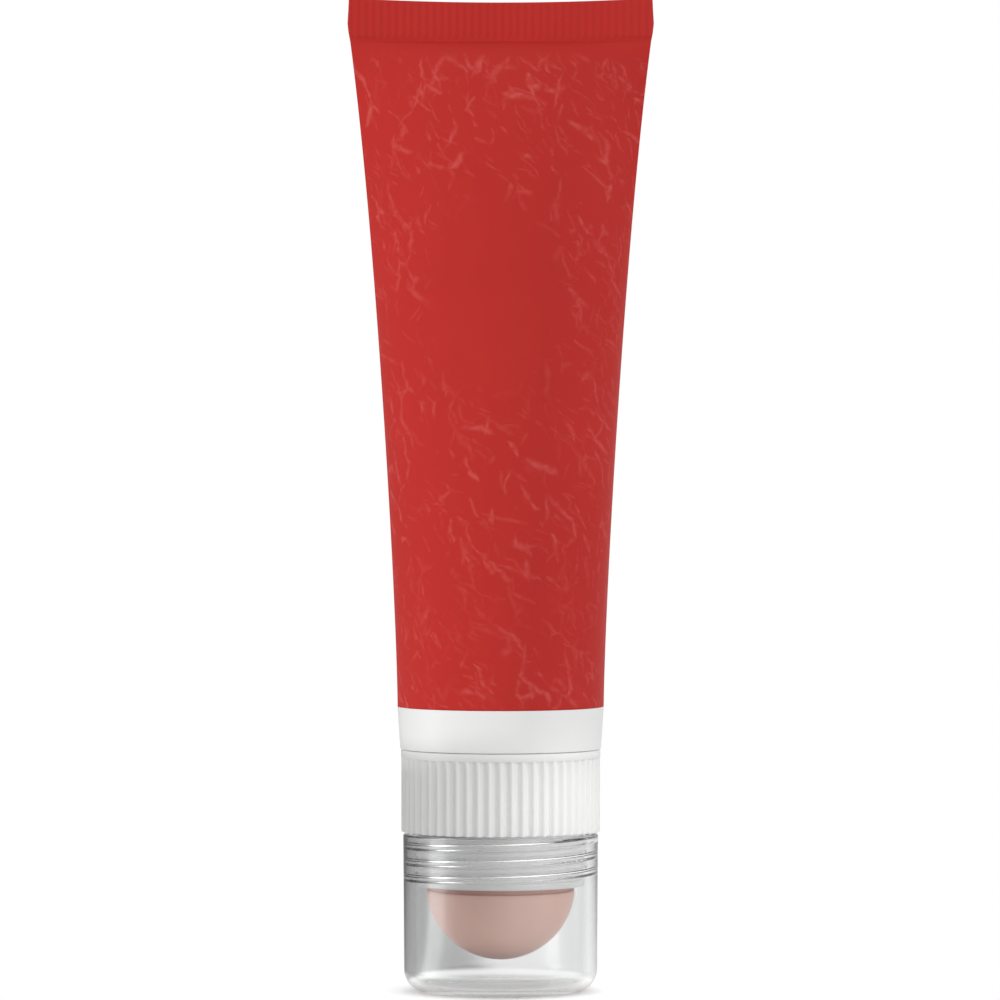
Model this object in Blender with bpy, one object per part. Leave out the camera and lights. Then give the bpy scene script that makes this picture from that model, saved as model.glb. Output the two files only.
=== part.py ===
"""Squeeze tube that stands on its clear cap, with a twist-up stick of lip balm inside the cap.

Metres, +Z up. The origin is the centre of the clear cap's underside. The end seal runs along X and
its flat faces look along Y. Every joint turns about Z or slides along it. Each piece is drawn from
its own seat at z = 0, and its object is then lifted to that seat.
"""

import math

import bmesh
import bpy

MM = 0.001

# Fits
FIT_GAP = 0.3 * MM  # between two pieces that touch
BORE_OVERCUT = 1.0 * MM  # how far a cutter runs past the face that it opens

# Outer diameters, each a step down from the one above it
TUBE_D = 30.0 * MM  # sleeve, where it is round
BAND_TAPER = 0.8 * MM  # how much narrower the white band is at its lower edge
COLLAR_STEP = 0.2 * MM  # from the band's lower edge to the collar's rim
CAP_STEP = 0.64 * MM  # from the collar's rim to the clear cap's rim

# Clear cap
CAP_HEIGHT = 23.0 * MM
CAP_DRAFT = 0.3 * MM  # how much narrower it is at the foot
CAP_WALL = 1.5 * MM
CAP_FLOOR = 1.2 * MM
CAP_CORNER = 3.2 * MM
CAP_INNER_CORNER = 1.8 * MM
CAP_RECESS_D = 14.5 * MM
CAP_RECESS_DEPTH = 0.35 * MM
MOUTH_CHAMFER = 0.4 * MM

# Balm, its barrel and its lift
TIP_ROOM = 3.4 * MM  # between the tip of the balm and the clear cap's floor
THREAD_ROOM = 0.55 * MM  # between the barrel and the clear cap, for their thread
BARREL_WALL = 0.95 * MM
BARREL_BEAD = 0.2 * MM  # how far the barrel's rim stands out
BARREL_BEAD_HEIGHT = 0.9 * MM
FLANGE_REACH = 0.75 * MM
FLANGE_HEIGHT = 1.0 * MM
STROKE_OUT = 2.5 * MM
STROKE_IN = 2.0 * MM
CARRIER_HEIGHT = 2.6 * MM
NUT_D = 7.0 * MM
NUT_LENGTH = 4.5 * MM
SCREW_D = 4.0 * MM
SCREW_TIP = 0.5 * MM  # how far the screw runs past the nut at its lowest
SCREW_HEAD_D = 7.6 * MM  # across the corners of the hexagon
SCREW_HEAD_HEIGHT = 0.8 * MM
KEY_COUNT = 4
KEY_WIDTH = 1.2 * MM
KEY_DEPTH = 0.8 * MM

# Ribbed collar
COLLAR_HEIGHT = 12.0 * MM
COLLAR_RIM_HEIGHT = 1.15 * MM
RIB_COUNT = 55
RIB_DROP = 0.05 * MM  # rib crests lie this far inside the rim
GROOVE_DEPTH = 0.35 * MM
GROOVE_SHARE = 0.32  # of the rib pitch, at the groove's floor
GROOVE_FLANK = 0.12  # of the rib pitch, for each sloping side
EDGE_CHAMFER = 0.25 * MM
LIP_HEIGHT = 1.6 * MM
WEB_THICKNESS = 1.9 * MM
BOSS_WALL = 1.6 * MM
BOSS_DROP = 0.6 * MM  # from the collar's top to the boss's
COLLAR_WALL = 1.3 * MM

# Sealing disc
LINER_THICKNESS = 0.8 * MM

# Tube head
BAND_HEIGHT = 6.2 * MM
HEAD_WALL = 1.0 * MM
SHOULDER_THICKNESS = 1.3 * MM
NECK_D = 14.0 * MM
NECK_THREAD_ROOM = 1.0 * MM
NECK_WALL = 1.4 * MM
NECK_END_WALL = 1.0 * MM
ORIFICE_D = 4.5 * MM
SPIGOT_HEIGHT = 2.6 * MM

# Sleeve and end seal
SLEEVE_LENGTH = 96.3 * MM
SLEEVE_WALL = 0.5 * MM
SEAL_FOOT_WIDTH = 43.7 * MM
SEAL_WIDEST = 44.5 * MM
SEAL_TOP_WIDTH = 44.1 * MM
SEAL_HEIGHT = 5.65 * MM
SEAL_WIDEST_SHARE = 0.4  # of the seal's height, where it is widest
SEAL_DIP = 0.65 * MM  # how far the middle of its top edge lies below the corners
SEAL_THICKNESS = 1.2 * MM
SEAL_GROOVE = 0.15 * MM
SEAL_RIB_PITCH = 1.1 * MM
FLARE_POWER = 1.35  # how the sleeve widens towards the seal
LATE_FLARE = 1.4 * MM  # the part of the widening that comes close to the seal
LATE_FLARE_POWER = 6
FOLD_POWER = 3  # how late the round section turns into a folded one
ROOT_DEPTH = 1.4 * MM  # thickness of the sleeve where the seal starts
ROOT_OVERLAP = 0.8 * MM  # how far the sleeve reaches into the seal
ROOT_END_DEPTH = 0.6 * MM
CAVITY_END = 1.0 * MM  # from the end of the hollow to the seal

# Mesh resolution
TURN_STEPS = 48
SMALL_TURN_STEPS = 24
SLEEVE_STEPS = 36
SLEEVE_RINGS = 15
CORNER_STEPS = 4
DOME_STEPS = 8
ON_AXIS = 1e-6 * MM  # a profile point this close to the axis lies on it

# Diameters and radii that follow
BAND_FOOT_R = (TUBE_D - BAND_TAPER) / 2
COLLAR_R = BAND_FOOT_R - COLLAR_STEP / 2
CAP_R = COLLAR_R - CAP_STEP / 2
CAP_FOOT_R = CAP_R - CAP_DRAFT / 2
CAP_BORE_R = CAP_R - CAP_WALL
CAP_FLOOR_R = CAP_FOOT_R - CAP_WALL
BARREL_R = CAP_BORE_R - THREAD_ROOM
BARREL_BORE_R = BARREL_R - BARREL_WALL
FLANGE_R = BARREL_R + FLANGE_REACH
BALM_R = BARREL_BORE_R - FIT_GAP
SCREW_R = SCREW_D / 2
SCREW_HOLE_R = SCREW_R + FIT_GAP
NUT_R = NUT_D / 2
NECK_R = NECK_D / 2
NECK_BORE_R = NECK_R - NECK_WALL
BOSS_BORE_R = NECK_R + NECK_THREAD_ROOM
BOSS_R = BOSS_BORE_R + BOSS_WALL
LINER_R = BOSS_BORE_R - FIT_GAP
SLEEVE_BORE_R = TUBE_D / 2 - SLEEVE_WALL
SPIGOT_R = SLEEVE_BORE_R - FIT_GAP
HEAD_BORE_R = SPIGOT_R - HEAD_WALL

# Heights of the seats, from the floor up
RIM_Z = CAP_FLOOR + TIP_ROOM + BALM_R  # lower end of the barrel, and the middle of the dome
COLLAR_Z = CAP_HEIGHT + FIT_GAP
FLANGE_Z = COLLAR_Z + LIP_HEIGHT + FIT_GAP
WEB_Z = FLANGE_Z + FLANGE_HEIGHT + FIT_GAP
CARRIER_Z = WEB_Z - FIT_GAP - STROKE_IN - CARRIER_HEIGHT
BALM_TOP_Z = CARRIER_Z - FIT_GAP
LINER_Z = WEB_Z + WEB_THICKNESS + FIT_GAP
NECK_END_Z = LINER_Z + LINER_THICKNESS + FIT_GAP
COLLAR_TOP_Z = COLLAR_Z + COLLAR_HEIGHT
BAND_Z = COLLAR_TOP_Z + FIT_GAP
SLEEVE_Z = BAND_Z + BAND_HEIGHT
SCREW_END_Z = CARRIER_Z - NUT_LENGTH - STROKE_OUT - SCREW_TIP
BALM_HOLE_Z = SCREW_END_Z - STROKE_IN - FIT_GAP
KEY_Z = RIM_Z + STROKE_IN + 2 * FIT_GAP  # keys start above what the balm's grooves need


def clear_scene():
    for item in list(bpy.data.objects):
        bpy.data.objects.remove(item, do_unlink=True)


def plastic(name, colour, roughness, alpha=1.0, transmission=0.0):
    """A Principled material in the piece's own colour."""
    made = bpy.data.materials.new(name)
    made.use_nodes = True
    shader = made.node_tree.nodes["Principled BSDF"]
    shader.inputs["Base Color"].default_value = (*colour, 1.0)
    shader.inputs["Roughness"].default_value = roughness
    shader.inputs["Metallic"].default_value = 0.0
    shader.inputs["Alpha"].default_value = alpha
    shader.inputs["Transmission Weight"].default_value = transmission
    made.diffuse_color = (*colour, alpha)
    return made


def body_empty(name, z, parent=None):
    """An empty on the tube's axis that stands for one moving body."""
    empty = bpy.data.objects.new(name, None)
    empty.empty_display_size = TUBE_D / 4
    empty.location.z = z - (parent.matrix_world.translation.z if parent else 0.0)
    bpy.context.scene.collection.objects.link(empty)
    empty.parent = parent
    bpy.context.view_layer.update()
    return empty


def object_from(name, bm, z, parent=None, material=None, sharp_deg=35):
    """Turns a bmesh into an object seated at height z and shades its round faces smooth."""
    bmesh.ops.remove_doubles(bm, verts=bm.verts, dist=1e-7)
    bmesh.ops.recalc_face_normals(bm, faces=bm.faces)
    mesh = bpy.data.meshes.new(name)
    bm.to_mesh(mesh)
    bm.free()
    mesh.shade_smooth()
    mesh.set_sharp_from_angle(angle=math.radians(sharp_deg))
    made = bpy.data.objects.new(name, mesh)
    bpy.context.scene.collection.objects.link(made)
    made.parent = parent
    made.location.z = z - (parent.matrix_world.translation.z if parent else 0.0)
    if material:
        mesh.materials.append(material)
    return made


def as_cutter(cutter):
    cutter.hide_render = True
    cutter.display_type = "WIRE"
    return cutter


def boolean(target, tool, operation):
    modifier = target.modifiers.new(f"{operation.lower()} {tool.name}", "BOOLEAN")
    modifier.operation = operation
    modifier.solver = "EXACT"
    modifier.object = as_cutter(tool)


def arc(centre_r, centre_z, radius, start_deg, end_deg, steps):
    """Points (r, z) along an arc of a profile, both ends included."""
    points = []
    for step in range(steps + 1):
        angle = math.radians(start_deg + (end_deg - start_deg) * step / steps)
        points.append((centre_r + radius * math.cos(angle), centre_z + radius * math.sin(angle)))
    return points


def turned(profile, steps):
    """Spins a profile of (r, z) points about Z. It closes on itself, or starts and ends on the axis."""
    bm = bmesh.new()
    verts = [bm.verts.new((r, 0.0, z)) for r, z in profile]
    edges = [bm.edges.new(pair) for pair in zip(verts, verts[1:])]
    if profile[0][0] > ON_AXIS:
        edges.append(bm.edges.new((verts[-1], verts[0])))
    bmesh.ops.spin(
        bm,
        geom=verts + edges,
        cent=(0, 0, 0),
        axis=(0, 0, 1),
        angle=math.tau,
        steps=steps,
        use_merge=False,
    )
    return bm


def loft(bm, rings, cap_first, cap_last):
    """Joins rings of as many points each, and closes the ends that are asked for."""
    loops = [[bm.verts.new(point) for point in ring] for ring in rings]
    for lower, upper in zip(loops, loops[1:]):
        for i in range(len(lower)):
            j = (i + 1) % len(lower)
            bm.faces.new((lower[i], lower[j], upper[j], upper[i]))
    if cap_first:
        bm.faces.new(loops[0])
    if cap_last:
        bm.faces.new(loops[-1])
    return loops


def cylinder_tool(name, radius, bottom, top, z, steps, parent=None):
    profile = [(0.0, bottom), (radius, bottom), (radius, top), (0.0, top)]
    return object_from(name, turned(profile, steps), z, parent)


def key_bars(name, inner_r, outer_r, width, bottom, top, z, parent):
    """Upright bars, evenly spaced about the axis, for the barrel's keys and what slides on them."""
    bm = bmesh.new()
    for number in range(KEY_COUNT):
        turn = math.tau * (number + 0.5) / KEY_COUNT
        along = (math.cos(turn), math.sin(turn))
        across = (-math.sin(turn), math.cos(turn))
        rings = []
        for height in (bottom, top):
            ring = []
            for r, side in ((inner_r, -1), (outer_r, -1), (outer_r, 1), (inner_r, 1)):
                x = along[0] * r + across[0] * side * width / 2
                y = along[1] * r + across[1] * side * width / 2
                ring.append((x, y, height))
            rings.append(ring)
        loft(bm, rings, True, True)
    return object_from(name, bm, z, parent)


def section(half_width, half_depth, fold, z, steps=SLEEVE_STEPS):
    """One ring of the sleeve: an ellipse at fold 0, a folded lens with creased sides at fold 1."""
    ring = []
    for step in range(steps):
        angle = math.tau * step / steps
        folded = 2 / math.pi * math.asin(math.cos(angle))
        x = half_width * ((1 - fold) * math.cos(angle) + fold * folded)
        ring.append((x, half_depth * math.sin(angle), z))
    return ring


def ring_length(ring):
    return sum(math.dist(ring[i - 1], ring[i]) for i in range(len(ring)))


def depth_for(half_width, fold, length):
    """The half depth at which a section of this width has the given girth."""
    low, high = 0.0, TUBE_D
    for _ in range(40):
        middle = (low + high) / 2
        if ring_length(section(half_width, middle, fold, 0.0)) < length:
            low = middle
        else:
            high = middle
    return high


def sleeve_form(share):
    """Half width, half depth and fold of the sleeve at a share of its length."""
    early = (SEAL_FOOT_WIDTH - TUBE_D - LATE_FLARE) * share**FLARE_POWER
    half_width = (TUBE_D + early + LATE_FLARE * share**LATE_FLARE_POWER) / 2
    fold = share**FOLD_POWER
    round_girth = ring_length(section(TUBE_D / 2, TUBE_D / 2, 0.0, 0.0))
    seal_girth = ring_length(section(SEAL_FOOT_WIDTH / 2, ROOT_DEPTH / 2, 1.0, 0.0))
    girth = round_girth + (seal_girth - round_girth) * share**2
    return half_width, depth_for(half_width, fold, girth), fold


def sleeve_shares(last):
    """Shares of the sleeve's length, closer together towards the seal where the form turns fastest."""
    return [last * (1 - (1 - step / SLEEVE_RINGS) ** 1.5) for step in range(SLEEVE_RINGS + 1)]


def sleeve_skin(inset, last):
    """Rings of the sleeve's surface, or of one that lies evenly inside it."""
    rings = []
    for share in sleeve_shares(last):
        half_width, half_depth, fold = sleeve_form(share)
        rings.append(section(half_width - inset, half_depth - inset, fold, share * SLEEVE_LENGTH))
    return rings


def make_sleeve(parent, material):
    """The squeezable shell, open at its lower end, with the end seal joined to its top."""
    bm = bmesh.new()
    outer = sleeve_skin(0.0, 1.0)
    root = section(
        (SEAL_FOOT_WIDTH - SEAL_THICKNESS) / 2,
        ROOT_END_DEPTH / 2,
        1.0,
        SLEEVE_LENGTH + ROOT_OVERLAP,
    )
    outside = loft(bm, outer + [root], False, True)
    cavity_share = 1 - CAVITY_END / SLEEVE_LENGTH
    inside = loft(bm, sleeve_skin(SLEEVE_WALL, cavity_share), False, True)
    for i in range(SLEEVE_STEPS):
        j = (i + 1) % SLEEVE_STEPS
        bm.faces.new((outside[0][i], outside[0][j], inside[0][j], inside[0][i]))
    sleeve = object_from("tube_sleeve", bm, SLEEVE_Z, parent, material)
    boolean(sleeve, make_seal(parent), "UNION")
    return sleeve


def make_seal(parent):
    """The crimped end seal: both walls welded together and pressed into upright ribs."""
    ribs = round(SEAL_FOOT_WIDTH / SEAL_RIB_PITCH)
    levels = (
        (0.0, SEAL_FOOT_WIDTH / 2),
        (SEAL_HEIGHT * SEAL_WIDEST_SHARE, SEAL_WIDEST / 2),
        (SEAL_HEIGHT, SEAL_TOP_WIDTH / 2),
    )
    bm = bmesh.new()
    fronts, backs = [], []
    for height, half_width in levels:
        front, back = [], []
        for step in range(2 * ribs + 1):
            across = step / ribs - 1
            depth = SEAL_THICKNESS / 2 - (SEAL_GROOVE if step % 2 else 0.0)
            lift = SEAL_DIP * across**2 * height / SEAL_HEIGHT
            x = across * half_width
            front.append(bm.verts.new((x, -depth, height + lift)))
            back.append(bm.verts.new((x, depth, height + lift)))
        fronts.append(front)
        backs.append(back)
    for side in (fronts, backs):
        for lower, upper in zip(side, side[1:]):
            for i in range(len(lower) - 1):
                bm.faces.new((lower[i], lower[i + 1], upper[i + 1], upper[i]))
    for front, back in ((fronts[0], backs[0]), (fronts[-1], backs[-1])):
        for i in range(len(front) - 1):
            bm.faces.new((front[i], front[i + 1], back[i + 1], back[i]))
    for end in (0, -1):
        for level in range(len(levels) - 1):
            bm.faces.new(
                (fronts[level][end], backs[level][end], backs[level + 1][end], fronts[level + 1][end])
            )
    return object_from("end_seal_form", bm, SLEEVE_Z + SLEEVE_LENGTH, parent)


def make_head(parent, material):
    """Skirt, shoulder, neck and orifice in one moulding, with a spigot up inside the sleeve."""
    neck_end = NECK_END_Z - BAND_Z
    profile = [
        (NECK_R, 0.0),
        (BAND_FOOT_R - EDGE_CHAMFER, 0.0),
        (BAND_FOOT_R, EDGE_CHAMFER),
        (TUBE_D / 2, BAND_HEIGHT - FIT_GAP),
        (SPIGOT_R, BAND_HEIGHT - FIT_GAP),
        (SPIGOT_R, BAND_HEIGHT + SPIGOT_HEIGHT - EDGE_CHAMFER),
        (SPIGOT_R - EDGE_CHAMFER, BAND_HEIGHT + SPIGOT_HEIGHT),
        (HEAD_BORE_R, BAND_HEIGHT + SPIGOT_HEIGHT),
        (HEAD_BORE_R, SHOULDER_THICKNESS),
        (NECK_BORE_R, SHOULDER_THICKNESS),
        (NECK_BORE_R, neck_end + NECK_END_WALL),
        (ORIFICE_D / 2, neck_end + NECK_END_WALL),
        (ORIFICE_D / 2, neck_end),
        (NECK_R - EDGE_CHAMFER, neck_end),
        (NECK_R, neck_end + EDGE_CHAMFER),
    ]
    return object_from("tube_head", turned(profile, TURN_STEPS), BAND_Z, parent, material)


def make_cream(parent, material):
    """The contents: they fill the neck, the head and the sleeve up to the seal."""
    neck_floor = NECK_END_Z + NECK_END_WALL + FIT_GAP - SLEEVE_Z
    shoulder = BAND_Z + SHOULDER_THICKNESS + FIT_GAP - SLEEVE_Z
    spigot_top = SPIGOT_HEIGHT + FIT_GAP
    rings = []
    for radius, z in (
        (NECK_BORE_R - FIT_GAP, neck_floor),
        (NECK_BORE_R - FIT_GAP, shoulder),
        (HEAD_BORE_R - FIT_GAP, shoulder),
        (HEAD_BORE_R - FIT_GAP, spigot_top),
    ):
        rings.append(section(radius, radius, 0.0, z))
    inset = SLEEVE_WALL + FIT_GAP
    last = 1 - (CAVITY_END + 2 * FIT_GAP) / SLEEVE_LENGTH
    for share in sleeve_shares(last):
        if share * SLEEVE_LENGTH > spigot_top:
            half_width, half_depth, fold = sleeve_form(share)
            ring = section(half_width - inset, half_depth - inset, fold, share * SLEEVE_LENGTH)
            rings.append(ring)
    bm = bmesh.new()
    loft(bm, rings, True, True)
    return object_from("cream_fill", bm, SLEEVE_Z, parent, material)


def make_liner(parent, material):
    profile = [(0.0, 0.0), (LINER_R, 0.0), (LINER_R, LINER_THICKNESS), (0.0, LINER_THICKNESS)]
    return object_from("seal_liner", turned(profile, SMALL_TURN_STEPS), LINER_Z, parent, material)


def ribbed_ring(z, crest_r, floor_r):
    """One ring of the collar: four points a rib, two on the crest and two in the groove."""
    ring = []
    for rib in range(RIB_COUNT):
        for share, r in (
            (0.0, crest_r),
            (1 - GROOVE_SHARE - 2 * GROOVE_FLANK, crest_r),
            (1 - GROOVE_SHARE - GROOVE_FLANK, floor_r),
            (1 - GROOVE_FLANK, floor_r),
        ):
            angle = math.tau * (rib + share) / RIB_COUNT
            ring.append((r * math.cos(angle), r * math.sin(angle), z))
    return ring


def make_collar(parent, material):
    """Ribbed outside, a pocket for the barrel below the web and a threaded boss above it."""
    crest_r = COLLAR_R - RIB_DROP
    floor_r = COLLAR_R - GROOVE_DEPTH
    groove_top = COLLAR_HEIGHT - COLLAR_RIM_HEIGHT
    bm = bmesh.new()
    loft(
        bm,
        [
            ribbed_ring(0.0, crest_r - EDGE_CHAMFER, floor_r - EDGE_CHAMFER),
            ribbed_ring(EDGE_CHAMFER, crest_r, floor_r),
            ribbed_ring(groove_top, crest_r, floor_r),
            ribbed_ring(groove_top + RIB_DROP, COLLAR_R, COLLAR_R),
            ribbed_ring(COLLAR_HEIGHT - EDGE_CHAMFER, COLLAR_R, COLLAR_R),
            ribbed_ring(COLLAR_HEIGHT, COLLAR_R - EDGE_CHAMFER, COLLAR_R - EDGE_CHAMFER),
        ],
        True,
        True,
    )
    collar = object_from("grip_collar", bm, COLLAR_Z, parent, material)

    web = WEB_Z - COLLAR_Z
    web_top = web + WEB_THICKNESS
    lip_r = BARREL_R + FIT_GAP
    pocket_r = FLANGE_R + FIT_GAP
    past_top = COLLAR_HEIGHT + BORE_OVERCUT
    pocket = [
        (0.0, -BORE_OVERCUT),
        (lip_r, -BORE_OVERCUT),
        (lip_r, LIP_HEIGHT),
        (pocket_r, LIP_HEIGHT),
        (pocket_r, web),
        (0.0, web),
    ]
    boss_top = COLLAR_HEIGHT - BOSS_DROP
    recess = [
        (0.0, boss_top),
        (BOSS_R, boss_top),
        (BOSS_R, web_top),
        (COLLAR_R - COLLAR_WALL, web_top),
        (COLLAR_R - COLLAR_WALL, past_top),
        (0.0, past_top),
    ]
    tools = [
        object_from("collar_pocket", turned(pocket, TURN_STEPS), COLLAR_Z, parent),
        object_from("collar_recess", turned(recess, TURN_STEPS), COLLAR_Z, parent),
        cylinder_tool("neck_socket", BOSS_BORE_R, web_top, past_top, COLLAR_Z, TURN_STEPS, parent),
        cylinder_tool(
            "screw_hole",
            SCREW_HOLE_R,
            web - BORE_OVERCUT,
            web_top + BORE_OVERCUT,
            COLLAR_Z,
            SMALL_TURN_STEPS,
            parent,
        ),
        cylinder_tool(
            "screw_head_pocket",
            SCREW_HEAD_D / 2 + FIT_GAP,
            web_top - SCREW_HEAD_HEIGHT - FIT_GAP,
            web_top + BORE_OVERCUT,
            COLLAR_Z,
            6,
            parent,
        ),
    ]
    for tool in tools:
        boolean(collar, tool, "DIFFERENCE")
    return collar


def make_screw(parent, material):
    """The lifting screw: a hexagonal head keyed into the web and a plain core for the thread."""
    web_top = WEB_THICKNESS
    end = SCREW_END_Z - WEB_Z
    profile = [
        (0.0, end),
        (SCREW_R - EDGE_CHAMFER, end),
        (SCREW_R, end + EDGE_CHAMFER),
        (SCREW_R, web_top - SCREW_HEAD_HEIGHT / 2),
        (0.0, web_top - SCREW_HEAD_HEIGHT / 2),
    ]
    screw = object_from("lift_screw", turned(profile, SMALL_TURN_STEPS), WEB_Z, parent, material)
    head = cylinder_tool(
        "screw_head_form", SCREW_HEAD_D / 2, web_top - SCREW_HEAD_HEIGHT, web_top, WEB_Z, 6, parent
    )
    boolean(screw, head, "UNION")
    return screw


def make_barrel(parent, material):
    """The barrel: a rim bead below, a snap flange above and keys up its bore."""
    top = WEB_Z - FIT_GAP - RIM_Z
    flange = top - FLANGE_HEIGHT
    profile = [
        (BARREL_BORE_R + EDGE_CHAMFER, 0.0),
        (BARREL_R + BARREL_BEAD - EDGE_CHAMFER, 0.0),
        (BARREL_R + BARREL_BEAD, EDGE_CHAMFER),
        (BARREL_R + BARREL_BEAD, BARREL_BEAD_HEIGHT),
        (BARREL_R, BARREL_BEAD_HEIGHT + BARREL_BEAD),
        (BARREL_R, flange),
        (FLANGE_R, flange),
        (FLANGE_R, top),
        (BARREL_BORE_R, top),
        (BARREL_BORE_R, EDGE_CHAMFER),
    ]
    barrel = object_from("balm_barrel", turned(profile, TURN_STEPS), RIM_Z, parent, material)
    keys = key_bars(
        "barrel_keys",
        BARREL_BORE_R - KEY_DEPTH,
        BARREL_BORE_R + BARREL_WALL / 2,
        KEY_WIDTH,
        KEY_Z - RIM_Z,
        top - EDGE_CHAMFER,
        RIM_Z,
        parent,
    )
    boolean(barrel, keys, "UNION")
    return barrel


def key_grooves(name, bottom, top, z, parent):
    """Cutter for the grooves that clear the barrel's keys."""
    return key_bars(
        name,
        BARREL_BORE_R - KEY_DEPTH - FIT_GAP,
        BARREL_R,
        KEY_WIDTH + 2 * FIT_GAP,
        bottom,
        top,
        z,
        parent,
    )


def make_carrier(parent, material):
    """The plate under the balm, with the nut that climbs the screw."""
    profile = [
        (SCREW_HOLE_R, -NUT_LENGTH),
        (NUT_R, -NUT_LENGTH),
        (NUT_R, 0.0),
        (BALM_R, 0.0),
        (BALM_R, CARRIER_HEIGHT - EDGE_CHAMFER),
        (BALM_R - EDGE_CHAMFER, CARRIER_HEIGHT),
        (SCREW_HOLE_R, CARRIER_HEIGHT),
    ]
    carrier = object_from("balm_carrier", turned(profile, TURN_STEPS), CARRIER_Z, parent, material)
    grooves = key_grooves(
        "carrier_grooves", -BORE_OVERCUT, CARRIER_HEIGHT + BORE_OVERCUT, CARRIER_Z, parent
    )
    boolean(carrier, grooves, "DIFFERENCE")
    return carrier


def make_balm(parent, material):
    """The cast stick: a half-round end, a round shank and a hole for the nut and the screw."""
    top = BALM_TOP_Z - RIM_Z
    hole_end = BALM_HOLE_Z - RIM_Z
    nut_end = CARRIER_Z - NUT_LENGTH - FIT_GAP - RIM_Z
    nut_hole_r = NUT_R + FIT_GAP
    profile = [
        *arc(0.0, 0.0, BALM_R, -90, 0, DOME_STEPS),
        (BALM_R, top),
        (nut_hole_r, top),
        (nut_hole_r, nut_end),
        (SCREW_HOLE_R, nut_end),
        (SCREW_HOLE_R, hole_end),
        (0.0, hole_end),
    ]
    balm = object_from("lip_balm", turned(profile, TURN_STEPS), RIM_Z, parent, material)
    grooves = key_grooves(
        "balm_grooves", KEY_Z - STROKE_IN - FIT_GAP - RIM_Z, top + BORE_OVERCUT, RIM_Z, parent
    )
    boolean(balm, grooves, "DIFFERENCE")
    return balm


def make_clear_cap(parent, material):
    """The clear cap: a cup with a rounded foot, a shallow recess under it and a lead-in at its mouth."""
    foot_corner = CAP_FOOT_R - CAP_CORNER
    inner_corner = CAP_FLOOR_R - CAP_INNER_CORNER
    profile = [
        (0.0, CAP_RECESS_DEPTH),
        (CAP_RECESS_D / 2 - CAP_RECESS_DEPTH, CAP_RECESS_DEPTH),
        (CAP_RECESS_D / 2, 0.0),
        *arc(foot_corner, CAP_CORNER, CAP_CORNER, -90, 0, CORNER_STEPS),
        (CAP_R, CAP_HEIGHT - EDGE_CHAMFER),
        (CAP_R - EDGE_CHAMFER, CAP_HEIGHT),
        (CAP_BORE_R + MOUTH_CHAMFER, CAP_HEIGHT),
        (CAP_BORE_R, CAP_HEIGHT - MOUTH_CHAMFER),
        *arc(inner_corner, CAP_FLOOR + CAP_INNER_CORNER, CAP_INNER_CORNER, 0, -90, CORNER_STEPS),
        (0.0, CAP_FLOOR),
    ]
    return object_from("clear_cap", turned(profile, TURN_STEPS), 0.0, parent, material)


def main():
    clear_scene()
    red = plastic("red_sleeve", (0.47, 0.03, 0.025), 0.42)
    white = plastic("white_plastic", (0.80, 0.79, 0.78), 0.38)
    cream = plastic("cream", (0.86, 0.80, 0.66), 0.5)
    foam = plastic("liner_foam", (0.85, 0.85, 0.84), 0.8)
    balm_pink = plastic("balm_pink", (0.62, 0.44, 0.39), 0.35)
    clear = plastic("clear_plastic", (0.95, 0.96, 0.97), 0.05, alpha=0.25, transmission=1.0)

    tube = body_empty("tube", SLEEVE_Z)
    liner = body_empty("liner", LINER_Z, tube)
    screw_cap = body_empty("screw_cap", WEB_Z, liner)
    barrel = body_empty("barrel", RIM_Z, screw_cap)
    balm = body_empty("balm", RIM_Z, barrel)
    cap = body_empty("cap", 0.0, barrel)

    make_sleeve(tube, red)
    make_head(tube, white)
    make_cream(tube, cream)
    make_liner(liner, foam)
    make_collar(screw_cap, white)
    make_screw(screw_cap, white)
    make_barrel(barrel, white)
    make_carrier(balm, white)
    make_balm(balm, balm_pink)
    make_clear_cap(cap, clear)


main()
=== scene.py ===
"""Finished surfaces, studio and camera for a squeeze tube that stands on its clear cap.

Metres, +Z up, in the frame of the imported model: the origin is the centre of the clear cap's
underside and the end seal runs along X. Each piece is drawn where it belongs, so every object
sits at the origin. Lengths are those of the part's own source. The threads and the balm's waist
are only here. The collar's grooves are deeper here, the seal's grooves shallower, and the band's
skirt comes closer to the collar.
"""

import math
from typing import NamedTuple

import bmesh
import bpy
import numpy as np
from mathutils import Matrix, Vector


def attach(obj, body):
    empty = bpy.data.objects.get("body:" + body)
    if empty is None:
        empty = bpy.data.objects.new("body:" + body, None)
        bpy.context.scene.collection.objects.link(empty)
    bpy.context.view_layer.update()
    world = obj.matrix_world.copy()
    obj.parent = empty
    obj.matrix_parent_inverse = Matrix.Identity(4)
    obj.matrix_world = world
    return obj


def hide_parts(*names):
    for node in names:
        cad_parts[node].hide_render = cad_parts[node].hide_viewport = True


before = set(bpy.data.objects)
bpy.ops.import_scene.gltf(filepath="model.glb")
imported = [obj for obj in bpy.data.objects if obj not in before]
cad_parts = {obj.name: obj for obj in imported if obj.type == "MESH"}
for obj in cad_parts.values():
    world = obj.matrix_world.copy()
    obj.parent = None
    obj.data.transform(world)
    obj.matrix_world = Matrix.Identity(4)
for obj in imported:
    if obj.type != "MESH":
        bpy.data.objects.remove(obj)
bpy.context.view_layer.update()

MM = 0.001

# Fits and outer radii
FIT_GAP = 0.3 * MM
TUBE_R = 15.0 * MM
BAND_FOOT_R = 14.6 * MM
COLLAR_R = 14.5 * MM
CAP_R = 14.18 * MM

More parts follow.
